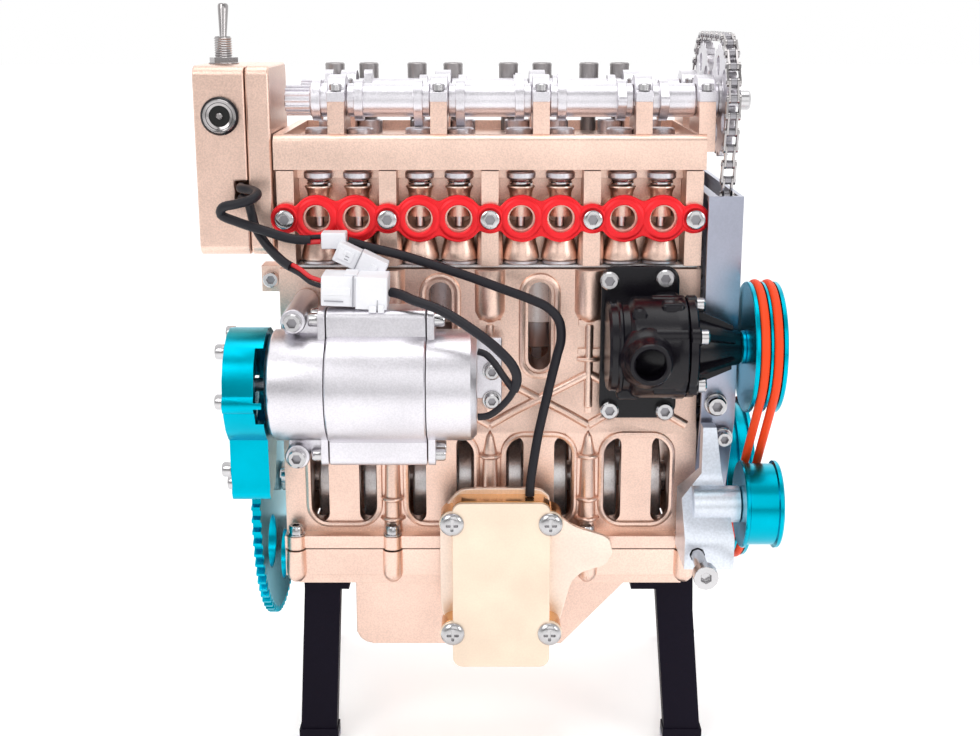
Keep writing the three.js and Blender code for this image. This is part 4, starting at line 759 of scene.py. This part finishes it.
# Starter motor
def motor():
    """Three round parts on one axis, each between two columns, and a foot."""
    shaft_left = -69.5
    cap_radius = 16.2
    body_radius = 17
    column = rounded(
        MOTOR_Y - COLUMN_DEPTH, MOTOR_Y + COLUMN_DEPTH, MOTOR_Z - 23.1, MOTOR_Z + 23.1, 2.6)
    front = Form()
    front.turned((-63.4, MOTOR_Y, MOTOR_Z), RIGHT, [
        (0, 14.6), (1.6, cap_radius), (16.7, cap_radius)], 96)
    front.bar((shaft_left, MOTOR_Y, MOTOR_Z), RIGHT, 8, 2, 0.2)
    for lift, depth in ((-COLUMN_LIFT, 27.9), (COLUMN_LIFT, 30.9)):
        front.bar((LUG_X, MOTOR_Y - COLUMN_DEPTH, MOTOR_Z + lift), (0, 1, 0), depth, 3.6, 0.4)
        web = sorted((MOTOR_Z + lift, MOTOR_Z + 0.7 * lift))
        front.block(-58.6, -48, MOTOR_Y - 2.6, MOTOR_Y + 2.6, *web)
    middle = Form().bar((COLUMN_FACES["body"][0], MOTOR_Y, MOTOR_Z), RIGHT, 28.2, body_radius, 0.4, 96)
    rear = Form().turned((COLUMN_FACES["rear"][0], MOTOR_Y, MOTOR_Z), RIGHT, [
        (0, cap_radius), (12.4, cap_radius), (14.1, 14.6)], 96)
    for name, node, form, edge in (
        ("front", "motor_front_cap", front, 0.2),
        ("body", "motor_body", middle, 0),
        ("rear", "motor_rear_cap", rear, 0),
    ):
        form.make(f"motor_{name}_dressed", "silver", "engine", node, edge=edge)
        plate(f"motor_{name}_column", [column], "X", *COLUMN_FACES[name], "silver")
    foot = Form()
    foot.block(-8.2, 3.6, -34.7, -32.3, MOTOR_Z - 9.5, MOTOR_Z + 9.5)
    foot.block(-8.2, -3.8, MOTOR_Y, -32.6, MOTOR_Z - 2.2, MOTOR_Z + 2.2)
    foot.make("motor_foot", "silver", edge=0.4)


motor()


# Pulleys and belts
def grooved_pulley(name, body, y, z, radius):
    floor = radius - 2
    Form().turned((PULLEY_LEFT, y, z), RIGHT, [
        (0, radius - 0.3), (0.3, radius), (1.2, radius), (1.4, floor), (4.1, floor), (4.3, radius),
        (4.9, radius), (5.1, floor), (7.8, floor), (8, radius), (8.9, radius), (9.2, radius - 0.3),
        (9.2, radius - 4), (7.2, radius - 5), (7.2, 7), (9.2, 6)], 96,
    ).make(f"{name}_dressed", "teal", body, name)


def belt_idler():
    left = PULLEY_LEFT
    right = 86.2
    rim = 13.1
    floor = 12.2
    bore = 2.3
    Form().turned((0, IDLER_Y, IDLER_Z), RIGHT, [
        (left, bore), (left, rim - 0.4), (left + 0.4, rim), (left + 1.1, rim), (left + 1.5, floor),
        (right - 1.6, floor), (right - 1.3, rim), (right - 0.4, rim), (right, rim - 0.4),
        (right, 9), (right - 1, 8.4), (right - 1, bore), (left, bore)], 96,
    ).make("idler_pulley_dressed", "teal", "belt_idler", "idler_pulley")


def belts():
    wheels = [(0, 0, 24.8, 1), (PUMP_Y, PUMP_Z, 17.6, 1), (IDLER_Y, IDLER_Z, 14.7, -1)]
    line = belt_line(wheels, 1.15)
    for name, x in (("inner", 77.75), ("outer", 81.45)):
        Form().tube([(x, y, z) for y, z in line], 1.3, 12, closed=True).make(
            f"drive_belt_{name}_round", "orange", "engine", f"drive_belt_{name}")


grooved_pulley("crank_pulley", "crank", 0, 0, 26.5)
grooved_pulley("pump_pulley", "pump_drive", PUMP_Y, PUMP_Z, 19.3)
belt_idler()
belts()


# Pump
def pump():
    port_x = 45.2
    flange = -33.5
    body = Form()
    body.turned((34.4, PUMP_Y, PUMP_Z), RIGHT, [
        (0, 12.2), (0.8, 13), (6, 13.4), (7, 14.4), (7.8, 15), (19, 15), (19.4, 15.3),
        (22.2, 15.3), (22.5, 15)], 96)
    body.turned((port_x, PUMP_Y, 54.3), FRONT, [
        (0, 9.4), (12.4, 9), (14.6, 7.4), (15.6, 6.8), (20.4, 6.2), (21, 6.1), (21.4, 5.7),
        (21.4, 4.9), (21, 4.5), (5, 4.4)], 64)
    for bolt in PUMP_BOLTS:
        body.bar((47, *bolt), RIGHT, 9.9, 3, 0.5)
    for x, radius in ((37, 13.9), (41, 14.6)):
        body.bar((x, PUMP_Y, PUMP_Z), RIGHT, 1.6, radius, 0.5, 96)
    body.bar((43, -50, 66), FRONT, 5, 2.2, 0.7)
    body.make("pump_body_dressed", "black_gloss", "engine", "pump_body")
    outline = rounded(33.4, PUMP_SEAM, 29.6, 76.8, 4.4)
    plate("pump_flange", [outline], "Y", flange, flange + 2.2, "black_gloss", edge=0.5)
    neck = Form()
    neck.block(34.6, 55.3, -45, -29.3, PUMP_Z - 12.8, PUMP_Z + 12.8)
    neck.block(49.4, 56.2, -53, -34, PUMP_Z + 8, PUMP_Z + 14.8)
    neck.block(37, 44, -51, -34, PUMP_Z - 14.6, PUMP_Z - 8)
    neck.make("pump_neck", "black_gloss", edge=1.2)
    wheel = Form()
    wheel.bar((41.5, -52, 55.8), RIGHT, 7.6, 3, sides=24)
    wheel.block(44, 48.4, -54.4, -52, 53.6, 58)
    wheel.make("pump_impeller", "teal", edge=0.2)
    pump_nose(PUMP_SEAM + 0.3)
    shaft = Form()
    shaft.bar((63.4, PUMP_Y, PUMP_Z), RIGHT, 12, 2.6, 0.1)
    shaft.ring((73.8, PUMP_Y, PUMP_Z), RIGHT, 1.3, 5, 2.5)
    shaft.make("pump_shaft", "teal", "pump_drive")
    bolts = Form()
    socket_shades = Form()
    for bolt in PUMP_BOLTS:
        bolts.socket_screw((PUMP_SEAM + 3.5, *bolt), RIGHT, 2.2, 2.4, socket_shades)
    for x, z in ((35.7, 72.7), (52.4, 73.3), (36.5, 32.5), (53.4, 32.2)):
        bolts.socket_screw((x, flange, z), FRONT, 2.8, 2.4, socket_shades)
    bolts.make("pump_screws", "steel")
    # Dark discs in the pump screws' sockets: painted shade.
    socket_shades.make("pump_screw_socket_shade", "dark_steel")


def pump_nose(left):
    """The pump's narrowing end, with a rim of bolt bosses and six ribs."""
    rib_side = [(0, 5), (0, 12.4), (2.4, 10.6), (11.5, 6.6), (11.5, 4)]
    rib_half = 0.8
    base = Vector((PUMP_SEAM + 3, PUMP_Y, PUMP_Z))
    nose = Form()
    nose.turned((left, PUMP_Y, PUMP_Z), RIGHT, [
        (0, 14.4), (0.3, 14.8), (2.3, 14.8), (2.8, 14.2), (2.8, 9), (13.5, 5.6), (15.8, 5.3),
        (16.4, 4.8), (16.4, 2.9), (5, 2.9)], 96)
    for bolt in PUMP_BOLTS:
        nose.bar((left, *bolt), RIGHT, 3.2, 3, 0.5)
    for k in range(6):
        out = Vector((0, *around(0, 0, 1, (k + 0.5) * pi / 3)))
        flat = out.cross(Vector(RIGHT)) * rib_half
        outline = [base + Vector((along, 0, 0)) + out * radius for along, radius in rib_side]
        nose.slab([point - flat for point in outline], [point + flat for point in outline])
    nose.make("pump_nose_dressed", "black_gloss", "engine", "pump_nose")


pump()


# Camshafts and their wheels
def lobe_outline(y, angle):
    """A round base with a smaller nose at an angle."""
    base = 6.1
    nose = 2.4
    reach = 5.6
    spread = acos((base - nose) / reach)
    rest = tau - 2 * spread
    tip = around(y, CAM_Z, reach, angle)
    return [*[around(*tip, nose, angle + spread * k / 6) for k in range(-6, 7)],
            *[around(y, CAM_Z, base, angle + spread + rest * k / 24) for k in range(25)]]


def camshaft(name, y):
    body = f"{name}_cam"
    splines = 14
    journal_radius = 5
    cap_room = 2.75
    shaft = Form()
    shaft.bar((-61.4, y, CAM_Z), RIGHT, 131, 4)
    for left, tower in zip([-53.8, *[x + cap_room for x in TOWERS]], TOWERS):
        shaft.bar((left, y, CAM_Z), RIGHT, tower - cap_room - left, journal_radius, sides=48)
    shaft.bar((64.2 + cap_room, y, CAM_Z), RIGHT, 1.1, journal_radius, 0.1)
    for k in range(splines):
        spline = around(y, CAM_Z, 4.2, tau * k / splines)
        shaft.tube([(x, *spline) for x in (-61.2, -54)], 0.5, 6)
    shaft.make(f"{name}_camshaft_dressed", "silver", body, f"{name}_camshaft")
    turn = INTAKE_TURN if name == "intake" else 0
    lobes = Form()
    for i, x in enumerate(LOBES):
        lobes.prism(lobe_outline(y, tau * (LOBE_TURNS[i // 2] + turn)), x, 2.7)
    lobes.make(f"{name}_lobes", "silver", body, edge=0.15)


def cam_sprocket(name, y):
    body = f"{name}_cam"
    teeth = toothed(y, CAM_Z, 24, 16.75, 15.5, pi / 2)
    holes = [circle(*around(y, CAM_Z, 10.5, tau * i / 5), 3) for i in range(5)]
    plate(f"{name}_sprocket_dressed", [teeth, *holes], "X", *SPROCKET_FACES, "silver", body,
          f"{name}_sprocket", edge=0.2)
    hub = Form()
    hub.bar((68, y, CAM_Z), RIGHT, 4.6, 5.2)
    hub.bar((72.6, y, CAM_Z), RIGHT, 2.6, 2.2, 0.2)
    hub.socket_screw((75.2, y, CAM_Z), RIGHT, 3, 2.9)
    hub.make(f"{name}_hub", "steel", body)


for name, y in CAM_YS.items():
    camshaft(name, y)
    cam_sprocket(name, y)


# Timing chain
def chain_joints(link_length):
    """Evenly spaced points round the three sprockets, an even number of them."""
    wheels = [(0, 0, TIMING_RADIUS, 1), (CAM_YS["intake"], CAM_Z, CHAIN_RADIUS, 1),
              (CAM_YS["exhaust"], CAM_Z, CHAIN_RADIUS, 1)]
    line = [Vector((0, y, z)) for y, z in belt_line(wheels, 0, pi / 60)]
    line.append(line[0])
    lengths = [(b - a).length for a, b in zip(line, line[1:])]
    count = 2 * round(sum(lengths) / link_length / 2)
    pitch = sum(lengths) / count
    places = []
    gone = 0
    segment = 0
    for k in range(count):
        while gone + lengths[segment] < k * pitch:
            gone += lengths[segment]
            segment += 1
        places.append(line[segment].lerp(line[segment + 1], (k * pitch - gone) / lengths[segment]))
    return places


def chain():
    end_radius = 1.35
    waist_half = 0.85
    thickness = 0.55
    plates = Form()
    rollers = Form()
    places = chain_joints(4.83)
    for k, here in enumerate(places):
        there = places[(k + 1) % len(places)]
        along = (there - here).normalized()
        up = along.cross(Vector(RIGHT))
        shape = []
        for end, side in ((there, 1), (here, -1)):
            turns = [pi * (i / 6 - side / 2) for i in range(7)]
            shape += [end + spoke(along, up, turn) * end_radius for turn in turns]
            shape.append((here + there) / 2 + up * side * waist_half)
        for side in (-1, 1):
            near = CHAIN_X + side * (1.55 if k % 2 else 0.95)
            faces = [near, near + side * thickness]
            plates.slab(*[[point + Vector((x, 0, 0)) for point in shape] for x in faces])
        rollers.bar((CHAIN_X - 0.95, here.y, here.z), RIGHT, 1.9, 1.25, 0.1, 12)
        rollers.bar((CHAIN_X - 2.35, here.y, here.z), RIGHT, 4.7, 0.6, 0.1, 10)
    plates.make("chain_plates", "chrome", "engine", "timing_chain")
    rollers.make("chain_rollers", "dark_steel")


chain()

# Red port plate
PORT_LOBE = 7
END_LOBE = 4.4
PLATE_BACK = HEAD_FACE - 0.3
PLATE_FRONT = PLATE_BACK - 2.3


def scallop(x):
    """Half the plate's height at a place, the lobes running smoothly into the neck."""
    parts = [3.5 if abs(x) < BULKHEADS[-1] else 0]
    if min(abs(x - middle) for middle in CYLINDERS) < PORT_OFFSET:
        parts.append(5.2)
    for places, radius in ((PORTS, PORT_LOBE), (BULKHEADS, END_LOBE)):
        parts += [sqrt(max(0, radius ** 2 - (x - place) ** 2)) for place in places]
    return sum(part ** 9 for part in parts) ** (1 / 9)


def port_plate():
    end = BULKHEADS[-1]
    caps = [end + END_LOBE * sin(radians(turn)) for turn in range(4, 91, 8)]
    count = 300
    middle = [end * (2 * k / count - 1) for k in range(count + 1)]
    places = [*[-x for x in reversed(caps)], *middle, *caps, end + END_LOBE]
    upper = [(x, PORT_Z + scallop(x)) for x in places]
    lower = [(x, PORT_Z - scallop(x)) for x in reversed(places[1:-1])]
    holes = [circle(x, PORT_Z, PORT_RADIUS, 48) for x in PORTS]
    plate("port_plate_dressed", [[*upper, *lower], *holes], "Y", PLATE_FRONT + 0.7, PLATE_BACK, "red",
          "engine", "port_plate", edge=0.35)
    rims = Form()
    for x in PORTS:
        rims.turned((x, PLATE_FRONT + 0.8, PORT_Z), FRONT, [
            (0, PORT_RADIUS), (0, 6.3), (0.35, 6.2), (0.75, 5.6), (0.8, 5.2), (0.7, 4.4),
            (0.5, PORT_RADIUS), (0, PORT_RADIUS)], 48)
    for x in BULKHEADS:
        rims.turned((x, PLATE_FRONT + 0.8, PORT_Z), FRONT, [
            (0, 3.2), (0, 4.1), (0.5, 3.9), (0.7, 3.5), (0.7, 3.3), (0.5, 3.2), (0, 3.2)], 40)
    rims.make("port_plate_rims", "red")


port_plate()

# Gearbox, with the arm's edge as shares of its reach beyond the case
CASE_LEFT = -11.4
CASE_RIGHT = 18.2
CASE_TOP = 7.8
CASE_BOTTOM = -38.4
BOSS_ZS = (1.2, -34.4)
ARM_SHARES = [(0.16, -0.04), (0.35, 0.38), (0.53, 0.47), (0.89, 0.53), (1, 0.65), (0.93, 0.79),
              (0.37, 0.89), (0, 1.06)]
ARM_REACH = 19.8


def gearbox():
    back = -39.6
    front = -50.1
    cover = rounded(CASE_LEFT, CASE_RIGHT, -45.6, CASE_TOP, 3)
    plate("gearbox_cover_dressed", [cover], "Y", front, front + 1.5, "pale_gold", "engine", "gearbox_cover",
          edge=0.35)
    case = rounded(CASE_LEFT, CASE_RIGHT, CASE_BOTTOM, CASE_TOP, 3)
    plate("gearbox_case", [case], "Y", front + 1.8, back - 0.1, "edge_gold", "engine", "gearbox_base",
          edge=0.4)
    top, bottom = BOSS_ZS
    edge = [(CASE_RIGHT + a * ARM_REACH, bottom + b * (top - bottom)) for a, b in ARM_SHARES]
    arm = [(-15.4, -30.4), (CASE_LEFT, CASE_BOTTOM), (CASE_RIGHT, CASE_BOTTOM), *edge,
           (CASE_RIGHT, 7.2), (15, 9.6), (-8, 9.6), (-11, 7.4), (-15.4, 1.2)]
    plate("gearbox_arm", [smooth_loop(arm)], "Y", back - 1.8, back, "arm_gold")
    Form().block(10.4, CASE_RIGHT, back - 1, -38, -19.8, -12).make("gearbox_tongue", "arm_gold", edge=0.3)
    posts = Form()
    bosses = Form()
    screws = Form()
    for x, z in [(x, z) for x in (CASE_LEFT, CASE_RIGHT) for z in BOSS_ZS]:
        posts.bar((x, back, z), FRONT, back - front - 1.8, 3.7, 0.2, 40)
        bosses.bar((x, front + 1.5, z), FRONT, 1.5, 3.9, 0.35, 40)
        screws.cross_screw((x, front, z), FRONT, 3.6, 1.6)
    posts.make("gearbox_posts", "edge_gold")
    bosses.make("gearbox_bosses", "pale_gold")
    screws.make("gearbox_screws", "steel")


gearbox()


# Battery box fittings
def fittings():
    jack_x = -79.2
    jack_z = 120.9
    Form().turned((jack_x, -30.3, jack_z), FRONT, [
        (0, 5.6), (0.9, 5.6), (1.5, 5.1), (1.5, 3.9), (0.9, 3.6), (0.9, 3.1), (-6, 3.1)], 64,
    ).make("power_jack_dressed", "black_gloss", "engine", "power_jack")
    # A near-black disc at the bottom of the jack's hole: painted shade.
    Form().bar((jack_x, -30.9, jack_z), FRONT, 0.15, 3.2, 0.05, 48).make("power_jack_well_shade", "painted_shade_black")
    pin = Form()
    pin.bar((jack_x, -31, jack_z), FRONT, 0.9, 0.95)
    pin.turned((jack_x, -31.1, jack_z), FRONT, [
        (0, 3), (0, 4.9), (0.7, 4.9), (0.9, 4.7), (0.9, 4.5), (0.3, 3.1), (0, 3)], 48)
    pin.make("power_jack_pin", "chrome")
    switch = (-80.7, -12)
    half_pitch = 0.35
    thread = [(half_pitch * k, 2.7 if k % 2 else 2.45) for k in range(19)]
    bushing = Form()
    bushing.turned((*switch, 136.8), UP, [(0, 1.9), *thread, (6.6, 2.3), (6.6, 1.9), (0, 1.9)])
    bushing.turned((*switch, 135.6), UP, [
        (0, 2.2), (0, 4.3, hexagon), (1.6, 4.3, hexagon), (1.6, 2.2), (0, 2.2)], 24)
    bushing.ring((*switch, 135.35), UP, 0.35, 4.6, 2.2, 0.1)
    bushing.make("switch_bushing_dressed", "chrome", "engine", "switch_bushing")
    tilt = radians(12)
    Form().turned((*switch, 140.8), (0, sin(tilt), cos(tilt)), [
        (-1, 0.95), (2, 1.05), (3.4, 1.1), (10.6, 1.55), (11.8, 1.6), (12.3, 1.4), (12.5, 0.8)],
    ).make("switch_lever_dressed", "chrome", "toggle", "switch_lever")


fittings()


# Screws and small pieces
def screws():
    rail_y = 34.6
    pad = -34.7
    heads = Form()
    socket_shades = Form()

    def screw(seat, direction, radius, height):
        heads.socket_screw(seat, direction, radius, height, socket_shades)

    for x in BULKHEADS:
        screw((x, HEAD_FACE - 2.9, PORT_Z), FRONT, 2.8, 1.7)
    for side in (-1, 1):
        for x in (-60.6, -30.4, 30.4, 60.6):
            heads.ring((x, side * rail_y, RAIL_Z), UP, 0.5, 2.9, 1, 0.1)
            screw((x, side * rail_y, RAIL_Z + 0.5), UP, 2.3, 2.6)
    for y in CAM_YS.values():
        for x in TOWERS:
            for hand in (-1, 1):
                screw((x, y + hand * 8, 128.1), UP, 1.9, 2)
    for lift in (-COLUMN_LIFT, COLUMN_LIFT):
        screw((LUG_X, MOTOR_Y - COLUMN_DEPTH, MOTOR_Z + lift), FRONT, 2.7, 2.4)
        for x, way in ((COLUMN_FACES["front"][0], LEFT), (COLUMN_FACES["rear"][1], RIGHT)):
            for hand in (-1, 1):
                screw((x, MOTOR_Y + hand * 3.4, MOTOR_Z + lift), way, 2, 2.8)
    for z in (35.8, 44.9):
        heads.ring((0.6, pad, z), FRONT, 0.5, 2.9, 1, 0.1)
        screw((0.6, pad - 0.5, z), FRONT, 2.3, 2)
    for y, z in ((-62.5, 57.5), (-66.4, 43.9), (-45, 59), (-60.4, 22), (-53, 15.6)):
        screw((-74.8, y, z), LEFT, 2.2, 2.6)
    for y, z in ((-24, 47), (-25, 33), (-24, 8), (24, 47), (25, 33), (24, 8)):
        screw((-64, y, z), LEFT, 2.3, 2.4)
    for x, z, radius in ((68.6, 35, 3), (71.2, 24.6, 2.4)):
        heads.ring((x, -36, z), FRONT, 1, radius + 0.5, 1, 0.2)
        screw((x, -37, z), FRONT, radius, 3.2)
    screw((-67.2, -22, 71), FRONT, 2.5, 2.4)
    heads.make("cap_screws", "steel")
    # Dark discs in the cap screws' sockets: painted shade.
    socket_shades.make("cap_screw_socket_shade", "dark_steel")


def valve_gear():
    """Stems, spring seats, springs, guides and tappets."""
    valve_y = 25
    head_floor = 76.7
    coil_steps = 16
    spring_turns = 2
    spring_rise = 1.7
    steel = Form()
    springs = Form()
    guides = Form()
    for side in (-1, 1):
        for x in PORTS:
            y = side * valve_y
            steel.bar((x, y, 87.8), UP, 6.4, 1.3, 0.1, 24)
            steel.bar((x, y, 102), UP, 2.4, 4.4, 0.5, 40)
            steel.ring((x, y, head_floor), UP, 1.1, 5.5, 3.9, sides=40)
            steel.turned((x, y, head_floor), UP, [(0, 3.6), (0.6, 3.6), (2.4, 1.6), (8, 1.3)])
            guides.turned((x, y, 91), UP, [
                (0, 3.4), (6.6, 3.4), (7.8, 3.7), (8.6, 4.2), (9, 4.1), (9, 2)], 40)
            guides.turned((x, y, 78), UP, [
                (0, 3.9), (0, 5.6), (0.5, 5.7), (2.6, 5.3), (5.4, 4.6), (7.4, 4.3), (7.4, 3.4), (5, 3.9),
                (0, 3.9)], 40)
            guides.ring((x, side * 30.9, PORT_Z), (0, -side, 0), 12, 4.2, 3.5, 0.1, 40)
            steps = coil_steps * spring_turns
            springs.tube([
                (*around(x, y, 3.2, tau * k / coil_steps), 100.3 + spring_rise * k / steps)
                for k in range(steps + 1)], 0.4, 6)
        for x in BULKHEADS[1:-1]:
            guides.turned((x, side * 27, 76.6), UP, [
                (0, 4), (8, 4), (10.2, 3.7), (10.4, 3)], 40)
    for y in CAM_YS.values():
        for x in LOBES:
            steel.bar((x, y, 108), UP, 8.6, 4.1, 0.4, 40)
    steel.make("valve_gear", "silver")
    springs.make("valve_springs", "steel")
    guides.make("valve_guides", "gold")


def face_at(z):
    """How far forward the block's front face stands at a height."""
    if z > 30:
        return BARREL
    return BARREL + (CRANKCASE - BARREL) * min(1, (30 - z) / 6)


def block_trim():
    """Ribs, bosses and beads cast on the block and the sump."""
    rib_top = 42.4
    rib_bottom = 26.4
    rib_steps = 12
    arch = [(-3.3, 0), (-1.9, 2.1), (0, 3), (1.9, 2.1), (3.3, 0)]
    trim = Form()
    for side in (1, -1):
        for left in BULKHEADS[:-1]:
            for start, end in ((rib_top, rib_bottom), (rib_bottom, rib_top)):
                shares = [k / rib_steps for k in range(rib_steps + 1)]
                line = [(left + CYLINDER_PITCH * share, start + (end - start) * share) for share in shares]
                trim.tube([(x, side * (face_at(z) - 0.2), z) for x, z in line], 1.35)
        for x in BULKHEADS[1:-1]:
            for z, height in ((47, 0.4), (17, 1), (3, 1), (-3.5, 1)):
                path = [(x + across, side * (face_at(z) - height * out), z) for across, out in arch]
                trim.tube(smooth_path(path, 0.6), 0.75)
            trim.turned((x, side * (BARREL + 1), 58), UP, [
                (0, 0), (0.7, 2.2), (2, 3.8), (4, 4.7), (16.9, 4.75)], 40)
            trim.turned((x, side * (BARREL - 0.4), 31), UP, [(0, 0), (1, 1.3), (27, 1.3)], 16)
            trim.turned((x, side * CRANKCASE, RAIL_Z), UP, [
                (0, 2.9), (26, 2.2), (31, 1.2), (33, 0)], 24)
        for x in BULKHEADS:
            foot = max(-60.6, min(60.6, x))
            trim.turned((foot, side * 35.9, -21), UP, [
                (-2, 0), (-1.6, 1.6), (-0.4, 2.7), (1, 3.1), (8.7, 3.1)])
            trim.turned((foot, side * 35.2, -12), UP, [(0, 2.9), (4.1, 2.9)])
    trim.bar((-38, -28, -43), (0, 1, 0), 56, 5, 0.6, 64)
    trim.make("block_trim", "gold")
    beads = Form()
    for side in (1, -1):
        for x in CYLINDERS:
            for loop, y in (
                (rounded(x - 11, x + 11, -5.75, 23.75, 6.5, 8), CRANKCASE - 0.35),
                (rounded(x - 5.35, x + 5.35, 41.65, 72.85, 5.2, 8), BARREL - 0.35),
            ):
                beads.tube([(a, side * y, b) for a, b in loop], 0.98, 8, closed=True)
    beads.make("block_beads", "gold")


# Plugs: the boxes of each are in axes of its own, about its middle; the dark grey boxes are strips of
# painted shade for the housings' grooves, slots and seam
PLUGS = [
    ("large_plug_details", "white", 0.25, (-38.3, -53.3, 73.9), 2, [
        (0.4, 9.3, -5.9, 5.9, -4.8, 4.4), (4.2, 6.4, -6.6, -4, -5.6, -3.6),
        (6.8, 8.6, -6.6, -4, -5.6, -3.2), (-9.2, -1, -5.8, -5.3, -1.2, 1.2),
        (-3.2, 0.6, -4, 4, 4.2, 4.9)]),
    ("large_plug_groove_shade", "plug_groove_shade", 0, (-38.3, -53.3, 73.9), 2, [
        (-0.5, -0.1, -6, 5.6, -4.2, 4.4), (-8.4, -3, -5.98, -5.7, -2.9, -2.6),
        (6.5, 6.7, -6.1, -5, -4.9, -2)]),
    ("small_plug_details", "white", 0.2, (-37.5, -44.7, 80.4), 26, [
        (-0.6, 7.5, -3.3, 3.2, -3.2, 3.2), (-7, -2.4, -3.4, -2.6, -1.6, 1.6),
        (-5.4, -4.4, -3.7, -2.6, 0.2, 1.4), (3.2, 5.2, -3.9, -2.6, -1.3, 1.3)]),
    ("small_plug_groove_shade", "plug_groove_shade", 0, (-37.5, -44.7, 80.4), 26, [
        (-0.9, -0.6, -3.35, 3, -3, 3), (-4.6, -3.4, -3.48, -3, -1, -0.7),
        (-4.6, -3.4, -3.48, -3, -0.1, 0.2), (5.4, 7.2, -3.4, -3, -2.4, -2.1)]),
]


def plugs():
    for name, finish, edge, middle, tilt, boxes in PLUGS:
        turn = Matrix.Rotation(radians(tilt), 3, "Y")
        housing = Form()
        for box in boxes:
            housing.block(*box, middle, turn)
        housing.make(name, finish, edge=edge)


def feet():
    reach = 3.6
    pads = Form()
    for x0, x1, y in ((-61, -48.6, -37), (-68.8, -56.4, 37), (55.3, 67.7, -37), (63.4, 75.8, 37)):
        pads.block(x0 - 0.1, x1 + 0.1, y - reach, y + reach, FLOOR_Z + 0.02, FLOOR_Z + 2.2)
    pads.make("foot_pads", "foot_grey", edge=0.3)


def cam_caps():
    """Caps with a round crown and a foot on either side, over the camshafts."""
    crown = 7.6
    bore = 4.6
    foot_half = 9.9
    foot_top = CAM_Z + 3
    caps = Form()
    for y in CAM_YS.values():
        arc = [around(y, CAM_Z, crown, pi * k / 24) for k in range(1, 24)]
        hole = [around(y, CAM_Z, bore, pi * k / 16) for k in range(16, -1, -1)]
        outline = [
            (y + foot_half, CAM_Z), (y + foot_half, foot_top), (y + 7, foot_top),
            *[point for point in arc if point[1] > foot_top + 0.1],
            (y - 7, foot_top), (y - foot_half, foot_top), (y - foot_half, CAM_Z), *hole]
        for x in TOWERS:
            caps.prism(outline, x, 5.2)
    caps.make("cam_caps", "silver", edge=0.25)


def rear_posts():
    posts = Form()
    for x in (-51.2, -40, -24.1, -12.2, 6.1, 17.2, 32.7, 42.8):
        posts.turned((x, 26.5, 112), UP, [
            (0, 2.5), (12, 2.5), (12, 3.2), (22, 3.2), (22.4, 2.8), (22.4, 1.7), (21, 1.7)])
    posts.make("rear_posts", "post_grey")


screws()
block_trim()
plugs()
feet()
valve_gear()
cam_caps()
rear_posts()
